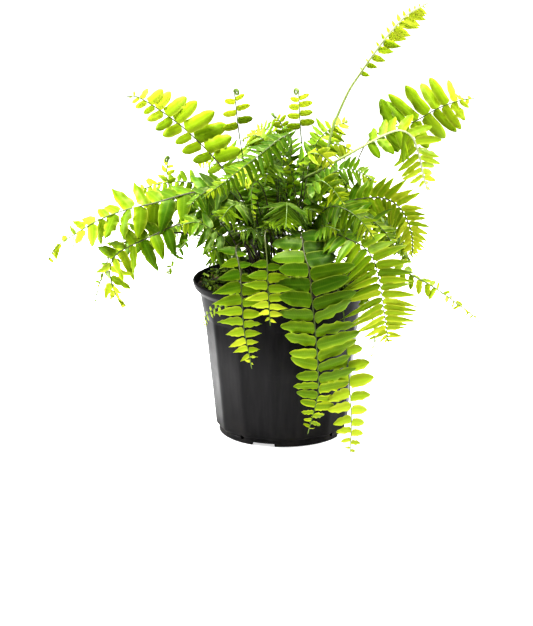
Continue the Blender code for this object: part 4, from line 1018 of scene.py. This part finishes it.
def rounded(profile, round_by):
    """A profile with each corner cut by three points of a small arc."""
    made = []
    for k, (r, z) in enumerate(profile):
        corner = Vector((r, z))
        before = Vector(profile[max(k - 1, 0)]) - corner
        after = Vector(profile[min(k + 1, len(profile) - 1)]) - corner
        if before.length == 0.0 or after.length == 0.0:
            made.append((r, z))
            continue
        size = min(round_by, before.length * 0.3, after.length * 0.3)
        start = corner + before.normalized() * size
        end = corner + after.normalized() * size
        middle = start.lerp(corner, 0.5).lerp(corner.lerp(end, 0.5), 0.5)
        made += [tuple(start), tuple(middle), tuple(end)]
    return made


def divided(profile, step):
    """A profile with points added so that none of its runs is longer than a step."""
    made = [profile[0]]
    for (r0, z0), (r1, z1) in zip(profile, profile[1:]):
        parts = max(1, int(ceil(hypot(r1 - r0, z1 - z0) / step)))
        made += [(r0 + (r1 - r0) * k / parts, z0 + (z1 - z0) * k / parts) for k in range(1, parts + 1)]
    return made


def panel_factor(turn):
    """How far the wall is pulled in at a turn about the pot, for flat panels with eased corners."""
    half = pi / PANELS
    local = (turn - PANEL_PHASE) % (2.0 * half) - half
    eased = half - hypot(half - abs(local), PANEL_CORNER * half) + PANEL_CORNER * half * PANEL_EASE
    eased = copysign(eased, local)
    return cos(half) / cos(max(-half, min(half, eased)))


def turned_body(name, profile, steps, pressed):
    """A closed turned mesh about the Z axis, whose profile starts and ends on the axis."""
    bm = bmesh.new()
    rings = []
    for r, z in profile:
        if r == 0.0:
            rings.append([bm.verts.new((0.0, 0.0, z * MM))])
            continue
        rise = held((z - PRESSED_FROM) / PRESSED_RISE)
        rise *= held((PANEL_TOP + PRESSED_FADE - z) / PRESSED_FADE)
        ring = []
        for step in range(steps):
            turn = PANEL_PHASE + 2.0 * pi * step / steps
            wide = r * between(1.0, panel_factor(turn), rise) if pressed else r
            ring.append(bm.verts.new((wide * cos(turn) * MM, wide * sin(turn) * MM, z * MM)))
        rings.append(ring)
    for low, high in zip(rings, rings[1:]):
        for step in range(steps):
            after = (step + 1) % steps
            if len(low) == 1:
                bm.faces.new((low[0], high[step], high[after]))
            elif len(high) == 1:
                bm.faces.new((low[step], high[0], low[after]))
            else:
                bm.faces.new((low[step], high[step], high[after], low[after]))
    bmesh.ops.recalc_face_normals(bm, faces=bm.faces)
    if bm.calc_volume(signed=True) < 0.0:
        bmesh.ops.reverse_faces(bm, faces=bm.faces)
    return from_bmesh(name, bm)


def cut_away(obj, bm):
    """Cut the shapes of a bmesh out of an object, and keep the result as its mesh."""
    bmesh.ops.recalc_face_normals(bm, faces=bm.faces)
    cutter = from_bmesh("cutter", bm)
    boolean = obj.modifiers.new("Cut", "BOOLEAN")
    boolean.operation = "DIFFERENCE"
    boolean.object = cutter
    graph = bpy.context.evaluated_depsgraph_get()
    made = bpy.data.meshes.new_from_object(obj.evaluated_get(graph))
    obj.modifiers.clear()
    obj.data = made
    bpy.data.objects.remove(cutter)


def drill(bm, place, radius, length):
    """Add a round cutter, centred on a place and along its Z axis."""
    bmesh.ops.create_cone(bm, cap_ends=True, segments=24, radius1=radius * MM, radius2=radius * MM,
                          depth=length * MM, matrix=place)


def build_pot(mat):
    """The moulded nursery pot: collar with a rolled lip, neck, eased panels, foot ring and holes."""
    outside = [(SOLE_RADIUS, 0.0), (SOLE_RADIUS + GROOVE_SLOPE, GROOVE_HEIGHT),
               (FOOT_INNER_RADIUS - GROOVE_SLOPE, GROOVE_HEIGHT), (FOOT_INNER_RADIUS, 0.0),
               (FOOT_RADIUS - FOOT_CHAMFER, 0.0), (FOOT_RADIUS, FOOT_CHAMFER), (FOOT_RADIUS, FOOT_BAND),
               (PANEL_FOOT_RADIUS, PANEL_FOOT), (PANEL_TOP_RADIUS, PANEL_TOP),
               (NECK_RADIUS, NECK_TOP), (RIM_RADIUS - COLLAR_TAPER, POT_HEIGHT - BAND_HEIGHT),
               (RIM_RADIUS, POT_HEIGHT - 2.0 * RIM_ROUND), (RIM_RADIUS - RIM_ROUND, POT_HEIGHT)]
    body = rounded(outside + [(RIM_RADIUS - WALL, POT_HEIGHT)] + wall_inside(0.0), EDGE_ROUND)
    profile = [(0.0, 0.0)] + divided([(SOLE_RADIUS * 0.5, 0.0)] + body, LONGEST_RUN) + [(0.0, FLOOR)]
    pot = turned_body("nursery_pot", profile, PANELS * STEPS_PER_PANEL, True)

    foot = (FOOT_INNER_RADIUS + FOOT_RADIUS) / 2.0
    size = (2.0 * (FOOT_RADIUS - FOOT_INNER_RADIUS), NOTCH_WIDTH, 2.0 * NOTCH_HEIGHT)
    block = Matrix.Translation((foot * MM, 0.0, 0.0)) @ Matrix.Diagonal([s * MM for s in size] + [1.0])
    drain = Matrix.Translation((DRAIN_REACH * MM, 0.0, 0.0))
    weep = Matrix.Translation((FOOT_RADIUS * MM, 0.0, WEEP_HEIGHT * MM))
    notches = bmesh.new()
    holes = bmesh.new()
    for turn in round_turns(NOTCHES):
        turned = Matrix.Rotation(NOTCH_PHASE + turn, 4, "Z")
        bmesh.ops.create_cube(notches, size=1.0, matrix=turned @ block)
        drill(holes, turned @ drain, DRAIN_RADIUS, DRAIN_LENGTH)
        turned = Matrix.Rotation(NOTCH_PHASE + turn + WEEP_TURN, 4, "Z")
        drill(holes, turned @ weep @ Matrix.Rotation(pi / 2.0, 4, "Y"), WEEP_RADIUS, WEEP_LENGTH)
    cut_away(pot, notches)
    cut_away(pot, holes)
    pot.data.materials.clear()
    pot.data.materials.append(mat)
    pot.data.shade_smooth()
    pot.data.set_sharp_from_angle(angle=radians(POT_CREASE))
    dress(pot, "black_plastic", "pot")


def soil_edge():
    """Radius and height down the soil's side, which starts on the collar's slope."""
    high, low = wall_inside(SOIL_GAP)[:2]
    share = (SOIL_TOP - SOIL_DROP - low[1]) / (high[1] - low[1])
    return [(between(low[0], high[0], share), SOIL_TOP - SOIL_DROP)] + wall_inside(SOIL_GAP)[1:]


def soil_height(x, y):
    """The soil's surface: a low mound round the stalks, with lumps."""
    r = hypot(x, y)
    mound = SOIL_MOUND * exp(-(r / SOIL_MOUND_RADIUS) ** 2)
    lumps = sin(x * 0.31 + 0.6 * sin(y * 0.23)) * cos(y * 0.27 - 0.4)
    lumps += 0.6 * sin(x * 0.13 - y * 0.17 + 1.0)
    return SOIL_TOP + mound + SOIL_LUMP * lumps * min(1.0, r / SOIL_MOUND_RADIUS)


def crumbs(x, y):
    """Fine unevenness of the soil's surface."""
    spot = Vector((x * CRUMB_SCALE, y * CRUMB_SCALE, 2.0))
    return CRUMB * (noise.noise(spot) + 0.6 * noise.noise(spot * 2.7))


def build_soil(mat):
    """The potting soil as one body with a crumbly top."""
    edge = soil_edge()
    reach = edge[0][0]
    rings = int(reach / SOIL_RING_STEP)
    top = [(reach * k / rings, SOIL_TOP) for k in range(rings)]
    profile = top + edge + [(0.0, FLOOR + SOIL_GAP)]
    soil = turned_body("potting_soil_bed", profile, SOIL_STEPS, False)
    inside_panels = cos(pi / PANELS)
    for vert in soil.data.vertices:
        x, y = vert.co.x / MM, vert.co.y / MM
        if vert.co.z > (SOIL_TOP - 0.1) * MM:
            vert.co.z = (soil_height(x, y) + crumbs(x, y)) * MM
        elif vert.co.z < PANEL_TOP * MM:
            vert.co.x *= inside_panels
            vert.co.y *= inside_panels
    soil.data.materials.append(mat)
    soil.data.shade_smooth()
    dress(soil, "potting_soil", "soil")


def in_pot(rng):
    """A random place on the soil, clear of the stalks."""
    while True:
        r = LITTER_RADIUS * sqrt(rng.random())
        turn = rng.uniform(-pi, pi)
        x, y = r * cos(turn), r * sin(turn)
        if all(hypot(x - item.root[0], y - item.root[1]) > ROOT_ROOM for item in FRONDS):
            return x, y


def tumbled(rng, tilt):
    """A random turn about the vertical, tilted by no more than some radians either way."""
    turn = Matrix.Rotation(rng.uniform(0.0, 2.0 * pi), 3, "Z")
    turn = turn @ Matrix.Rotation(rng.uniform(-tilt, tilt), 3, "X")
    return turn @ Matrix.Rotation(rng.uniform(-tilt, tilt), 3, "Y")


def bark_chip(rng):
    """A chip half sunk in the soil: a flat broken block."""
    x, y = in_pot(rng)
    size = rng.uniform(*CHIP_SIZE)
    halves = Vector((size * 0.5, size * rng.uniform(*CHIP_WIDTH), size * rng.uniform(*CHIP_THICKNESS)))
    turn = tumbled(rng, CHIP_TILT)
    height = soil_height(x, y) + crumbs(x, y) + halves.z * rng.uniform(*CHIP_LEVEL)
    points = []
    for level in (-1, 1):
        for a, b in SQUARE:
            ends = zip((a, b, level), CHIP_BREAK)
            broken = Vector([end * rng.uniform(least, 1.0) for end, least in ends])
            points.append(Vector((x, y, height)) + turn @ (broken * halves))
    return points, [(0, 3, 2, 1), (4, 5, 6, 7), (0, 1, 5, 4), (1, 2, 6, 5), (2, 3, 7, 6), (3, 0, 4, 7)]


def moss_spot(rng):
    """A random place on the soil in a patch of moss, of which there are more near the rim."""
    while True:
        x, y = in_pot(rng)
        patch = noise.noise(Vector((x * PATCH_SCALE, y * PATCH_SCALE, 7.0)))
        patch += PATCH_RIM * hypot(x, y) / RIM_RADIUS
        if patch >= PATCH_LEAST + PATCH_DRAW * rng.random():
            return x, y


def moss_lobe(rng):
    """A small cupped lobe, lying higher where moss is heaped up near the rim."""
    x, y = moss_spot(rng)
    size = rng.uniform(*LOBE_SIZE)
    turn = tumbled(rng, LOBE_TILT)
    heap = max(0.0, hypot(x, y) - MOSS_HEAP_FROM) / (RIM_RADIUS - MOSS_HEAP_FROM) * MOSS_HEAP
    heap *= held(0.6 - (x - 0.6 * y) / HEAP_SIDE)
    middle = Vector((x, y, soil_height(x, y) + crumbs(x, y) + 0.3 + (2.0 + heap) * rng.random()))
    points = [middle, middle - turn @ Vector((0.0, 0.0, LOBE_DEPTH * size))]
    faces = []
    for k, angle in enumerate(round_turns(LOBE_SIDES)):
        wide = size * (0.8 + 0.3 * cos(2.0 * angle)) * rng.uniform(0.85, 1.1)
        points.append(middle + turn @ Vector((wide * cos(angle), wide * sin(angle), LOBE_RISE * size)))
        here, after = k + 2, (k + 1) % LOBE_SIDES + 2
        faces += [(0, here, after), (1, after, here)]
    return points, faces


def dry_bit(rng):
    """A dry brown stalk end near the rim, arched a little."""
    turn = radians(rng.gauss(*DRY_TURN))
    r = rng.uniform(DRY_FROM, DRY_TO)
    x, y = r * cos(turn), r * sin(turn)
    start = Vector((x, y, soil_height(x, y) + 0.6))
    heading = Vector((rng.uniform(-1.0, 1.0), rng.uniform(-1.0, 1.0), rng.uniform(0.0, 0.5))).normalized()
    length = rng.uniform(*DRY_LENGTH)
    across = heading.cross(Vector((0.0, 0.0, 1.0))).normalized()
    up = across.cross(heading)
    points = []
    for k in range(DRY_RINGS):
        share = k / (DRY_RINGS - 1.0)
        place = start + heading * (length * share) + up * (DRY_ARCH * sin(pi * share))
        radius = DRY_RADIUS * (1.0 - DRY_TAPER * share)
        points += [on_circle(place, across, up, radius, angle) for angle in round_turns(4)]
    return points, tube_faces(DRY_RINGS, 4)


def build_litter(name, count, make, seed, mat, sharp):
    """Many small bits on the soil as one piece, each made by a function that draws from rng."""
    rng = random.Random(seed)
    sheaf = Sheaf()
    for _ in range(count):
        points, faces = make(rng)
        sheaf.add(points, faces, tone=rng.random())
    dress(sheaf.piece(name, [mat], sharp), "potting_soil")


class Nodes:
    """The node tree of a material or world, with short calls for what the looks are made of."""

    def __init__(self, block, shader="Principled BSDF", output="Material Output"):
        block.use_nodes = True
        self.block = block
        self.tree = block.node_tree
        self.shader = self.tree.nodes[shader]
        self.surface = self.tree.nodes[output].inputs["Surface"]

    def link(self, value, socket):
        """Put a number, a colour, a direction or another node's output on a socket."""
        if isinstance(value, bpy.types.NodeSocket):
            self.tree.links.new(value, socket)
        elif socket.type == "RGBA":
            socket.default_value = (*value, 1.0)
        else:
            socket.default_value = value

    def put(self, values):
        """Set the shader's inputs by their names."""
        for name, value in values.items():
            self.link(value, self.shader.inputs[name])
        return self.block

    def node(self, kind, output, inputs=(), **settings):
        """One output of a new node, given its first inputs in order, or some by name or number."""
        node = self.tree.nodes.new("ShaderNode" + kind)
        for name, setting in settings.items():
            setattr(node, name, setting)
        for key, value in inputs.items() if isinstance(inputs, dict) else enumerate(inputs):
            self.link(value, node.inputs[key])
        return node.outputs[output]

    def field(self, name):
        """A value that the piece's vertices carry."""
        return self.node("Attribute", "Fac", attribute_name=name)

    def math(self, operation, *values):
        """One sum of up to three values."""
        return self.node("Math", 0, values, operation=operation)

    def vary(self, value, by, amount, less):
        """A value with so much of another added, less a number."""
        return self.math("ADD", value, self.math("MULTIPLY_ADD", by, amount, -less))

    def fit(self, value, low, high, to_low, to_high):
        """A value moved smoothly from one range to another, and held inside it."""
        numbers = (value, low, high, to_low, to_high)
        return self.node("MapRange", 0, numbers, interpolation_type="SMOOTHSTEP")

    def noise(self, scale, detail, rough):
        """Noise from 0 to 1 in the object's own coordinates, by one scale per metre or three."""
        place = self.node("TexCoord", "Object")
        if isinstance(scale, tuple):
            place = self.node("VectorMath", 0, (place, scale), operation="MULTIPLY")
            scale = 1.0
        inputs = {"Vector": place, "Scale": scale, "Detail": detail, "Roughness": rough}
        return self.node("TexNoise", "Fac", inputs)

    def ramp(self, value, stops):
        """A colour for a value, from (position, colour) stops."""
        node = self.tree.nodes.new("ShaderNodeValToRGB")
        elements = node.color_ramp.elements
        while len(elements) < len(stops):
            elements.new(0.5)
        for element, (position, colour) in zip(elements, stops):
            element.position = position
            element.color = (*colour, 1.0)
        self.link(value, node.inputs[0])
        return node.outputs["Color"]

    def mix(self, share, a, b):
        """Two colours mixed by a share."""
        return self.node("Mix", 2, {0: share, 6: a, 7: b}, data_type="RGBA")

    def bump(self, height, distance, strength):
        """A normal for a height from 0 to 1, whose full step is a distance in metres."""
        return self.node("Bump", "Normal", {"Strength": strength, "Distance": distance, "Height": height})


def new_look(name):
    """The nodes of a new material."""
    return Nodes(bpy.data.materials.new(name))


def leaf_material(name, stops, gloss):
    """A living leaflet: colour by age, veins, mottling, painted shade on the half towards the frond's foot,
    a satin skin, and light through the blade.
    """
    look = new_look(name)
    signed = look.field("across")
    across = look.math("ABSOLUTE", signed)
    mottle = look.noise(55.0, 4.0, 0.6)
    age = look.vary(look.field("age"), look.field("tone"), 0.9, 0.43)
    age = look.vary(age, mottle, 0.3, 0.15)
    age = look.math("ADD", age, look.fit(across, 0.2, 1.0, -EDGE_AGE, EDGE_AGE))
    skin = look.ramp(age, stops)
    # Painted shade: the half of each leaflet towards the frond's foot is darkened as if its neighbour
    # shadowed it, less so on young pale leaflets.
    shade = look.fit(signed, -0.95, 0.1, PAINTED_SHADE_SHARE, 0.0)
    skin = look.mix(look.math("MULTIPLY", shade, look.fit(age, 0.3, 1.0, 1.0, 0.3)), skin, PAINTED_SHADE_COLOUR)
    slant = look.math("MULTIPLY_ADD", across, VEIN_SLANT, look.field("run"))
    side_veins = look.math("ABSOLUTE", look.math("SINE", look.math("MULTIPLY", slant, VEIN_TURN)))
    vein_lines = look.fit(side_veins, 0.0, 0.32, 1.0, 0.0)
    for lines, share in ((vein_lines, VEIN_SHARE), (look.fit(across, 0.84, 1.0, 0.0, 1.0), EDGE_SHARE),
                         (look.fit(across, 0.03, 0.13, 1.0, 0.0), MIDVEIN_SHARE)):
        skin = look.mix(look.math("MULTIPLY", lines, share), skin, VEIN_COLOUR)
    fine = look.math("MULTIPLY", look.noise(900.0, 2.0, 0.5), 0.12)
    normal = look.bump(look.math("MULTIPLY_ADD", vein_lines, -0.3, fine), 0.00012, 0.35)
    look.put({"Base Color": skin, "Roughness": look.fit(mottle, 0.3, 0.7, 0.32, 0.48), "Normal": normal,
              "Specular IOR Level": gloss, "Specular Tint": GLOSS_COLOUR})
    colour = look.mix(THROUGH_TINT, skin, THROUGH_COLOUR)
    through = look.node("BsdfTranslucent", 0, {"Color": colour, "Normal": normal})
    look.link(look.node("MixShader", 0, (THROUGH, look.shader.outputs[0], through)), look.surface)
    return look.block


def stalk_material():
    """Stalks and midribs: dark brown at the foot, then olive, and pale green at the tip."""
    look = new_look("stalk_skin")
    streak = look.noise((420.0, 420.0, 60.0), 3.0, 0.6)
    age = look.vary(look.vary(look.field("age"), streak, 0.24, 0.12), look.field("tone"), 0.2, 0.1)
    return look.put({"Base Color": look.ramp(age, STALK_STOPS), "Specular IOR Level": 0.2,
                     "Roughness": look.fit(streak, 0.3, 0.7, 0.4, 0.62),
                     "Normal": look.bump(streak, 0.0002, 0.6)})


def pot_material():
    """Black moulded plastic: satin, with a fine grain, faint drawn streaks, and dust near the foot."""
    look = new_look("black_moulded_plastic")
    grain = look.noise(2600.0, 2.0, 0.6)
    streaks = look.noise((160.0, 160.0, 9.0), 4.0, 0.6)
    cloud = look.noise(34.0, 4.0, 0.6)
    scuffs = look.fit(look.noise((60.0, 60.0, 900.0), 3.0, 0.7), 0.66, 0.78, 0.0, 1.0)
    height = look.node("SeparateXYZ", "Z", [look.node("TexCoord", "Object")])
    dust = look.math("MULTIPLY", look.fit(height, 0.0, DUST_HEIGHT, 1.0, 0.0),
                     look.fit(cloud, 0.4, 0.7, 0.0, 0.5))
    skin = look.mix(look.fit(streaks, 0.3, 0.75, 0.0, 1.0), POT_BLACK, POT_STREAK)
    skin = look.mix(look.math("MULTIPLY", scuffs, 0.25), skin, POT_SCUFF)
    rough = look.math("ADD", look.fit(cloud, 0.3, 0.7, 0.3, 0.4), look.math("MULTIPLY", streaks, 0.1))
    relief = look.math("MULTIPLY_ADD", grain, 0.35, look.math("MULTIPLY", streaks, 0.65))
    return look.put({"Base Color": look.mix(dust, skin, POT_DUST),
                     "Roughness": look.math("ADD", rough, look.math("MULTIPLY", dust, 0.3)),
                     "Specular IOR Level": look.fit(height, *SHEEN_HEIGHTS, *POT_SHEEN),
                     "Normal": look.bump(relief, 0.00012, 0.35)})


def soil_material():
    """Dark damp potting mix: brown and black grains, with paler fibres."""
    look = new_look("damp_potting_mix")
    grains = look.noise(420.0, 5.0, 0.7)
    fibres = look.fit(look.noise((900.0, 160.0, 400.0), 3.0, 0.6), 0.64, 0.72, 0.0, 0.7)
    return look.put({"Base Color": look.mix(fibres, look.ramp(grains, SOIL_STOPS), FIBRE_COLOUR),
                     "Roughness": look.fit(grains, 0.3, 0.7, 0.95, 0.7),
                     "Normal": look.bump(grains, 0.0016, 1.0)})


def bark_material(name, stops):
    """Broken bark and dry scraps: a brown for each piece, with streaks along it."""
    look = new_look(name)
    streaks = look.noise((700.0, 200.0, 700.0), 4.0, 0.65)
    shade = look.vary(look.field("tone"), streaks, 0.6, 0.3)
    return look.put({"Base Color": look.ramp(shade, stops),
                     "Roughness": look.fit(streaks, 0.3, 0.7, 0.9, 0.65),
                     "Normal": look.bump(streaks, 0.0006, 1.0)})


def moss_material():
    """Moss and liverwort: dark to yellow green, a little shiny."""
    look = new_look("green_moss")
    cells = look.noise(800.0, 3.0, 0.6)
    shade = look.vary(look.field("tone"), cells, 0.4, 0.2)
    return look.put({"Base Color": look.ramp(shade, MOSS_STOPS), "Specular IOR Level": 0.15,
                     "Roughness": look.fit(cells, 0.3, 0.7, 0.45, 0.65),
                     "Normal": look.bump(cells, 0.0003, 0.8)})


def floor_material():
    """A white floor that looks a little brighter than it lights the plant."""
    look = new_look("white_floor")
    glow = look.math("MULTIPLY", look.node("LightPath", "Is Camera Ray"), FLOOR_GLOW)
    mat = look.put({"Base Color": FLOOR_COLOUR, "Roughness": 0.9, "Specular IOR Level": 0.0,
                    "Emission Color": WHITE, "Emission Strength": glow})
    mat.cycles.emission_sampling = "NONE"
    return mat


def build_floor(mat):
    """A wide floor."""
    bm = bmesh.new()
    bmesh.ops.create_grid(bm, x_segments=1, y_segments=1, size=FLOOR_SIZE)
    floor = from_bmesh("studio_floor", bm)
    floor.location.z = FLOOR_LEVEL
    floor.data.materials.append(mat)


def build_world():
    """Soft white light, strong from behind and weak from the front, and white where it is seen."""
    world = bpy.data.worlds.new("studio")
    bpy.context.scene.world = world
    sky = Nodes(world, "Background", "World Output")
    depth = sky.node("SeparateXYZ", "Y", [sky.node("TexCoord", "Generated")])
    sky.put({"Color": WHITE, "Strength": sky.fit(depth, *WORLD_FADE, *WORLD_LIGHT)})
    seen = sky.node("Background", 0, (WHITE, WORLD_SEEN))
    eye = sky.node("LightPath", "Is Camera Ray")
    sky.link(sky.node("MixShader", 0, (eye, sky.shader.outputs[0], seen)), sky.surface)


def soft_light(name, place, size, energy):
    """A square soft box that faces the plant."""
    light = bpy.data.lights.new(name, "AREA")
    light.size = size
    light.energy = energy
    lamp = new_object(name, light)
    lamp.location = place
    lamp.rotation_euler = (Vector(AIM) - Vector(place)).to_track_quat("-Z", "Y").to_euler()


def build_camera():
    """The photograph's view: from straight ahead, looking down a little."""
    camera = bpy.data.cameras.new("camera")
    camera.lens = LENS
    camera.sensor_width = 36.0
    camera.clip_end = 50.0
    eye = new_object("camera", camera)
    height = radians(CAMERA_ELEVATION)
    away = Vector((0.0, -cos(height), sin(height)))
    eye.location = Vector(CAMERA_TARGET) + away * CAMERA_DISTANCE
    eye.rotation_euler = (pi / 2.0 - height, 0.0, 0.0)
    bpy.context.scene.camera = eye


def main():
    stalk = stalk_material()
    leaves = {}
    for tint, stops in TINT_STOPS.items():
        leaves[tint] = leaf_material(tint + "_leaflet", stops, GLOSS[tint])
    lay_out([node_tree("pot"), node_tree("soil")])
    for item in FRONDS:
        build_frond(item, leaves[item.tint], stalk)
    build_pot(pot_material())
    build_soil(soil_material())
    build_litter("bark_chips", CHIPS, bark_chip, 31, bark_material("bark", BARK_STOPS), 20.0)
    build_litter("moss_lobes", MOSS_LOBES, moss_lobe, 47, moss_material(), 60.0)
    build_litter("dry_bits", DRY_BITS, dry_bit, 59, bark_material("dry_scraps", DRY_STOPS), 50.0)
    build_floor(floor_material())
    build_world()
    for light in LIGHTS:
        soft_light(*light)
    build_camera()
    bpy.context.scene.view_settings.view_transform = "Standard"
    bpy.context.scene.view_settings.look = "Medium High Contrast"


main()
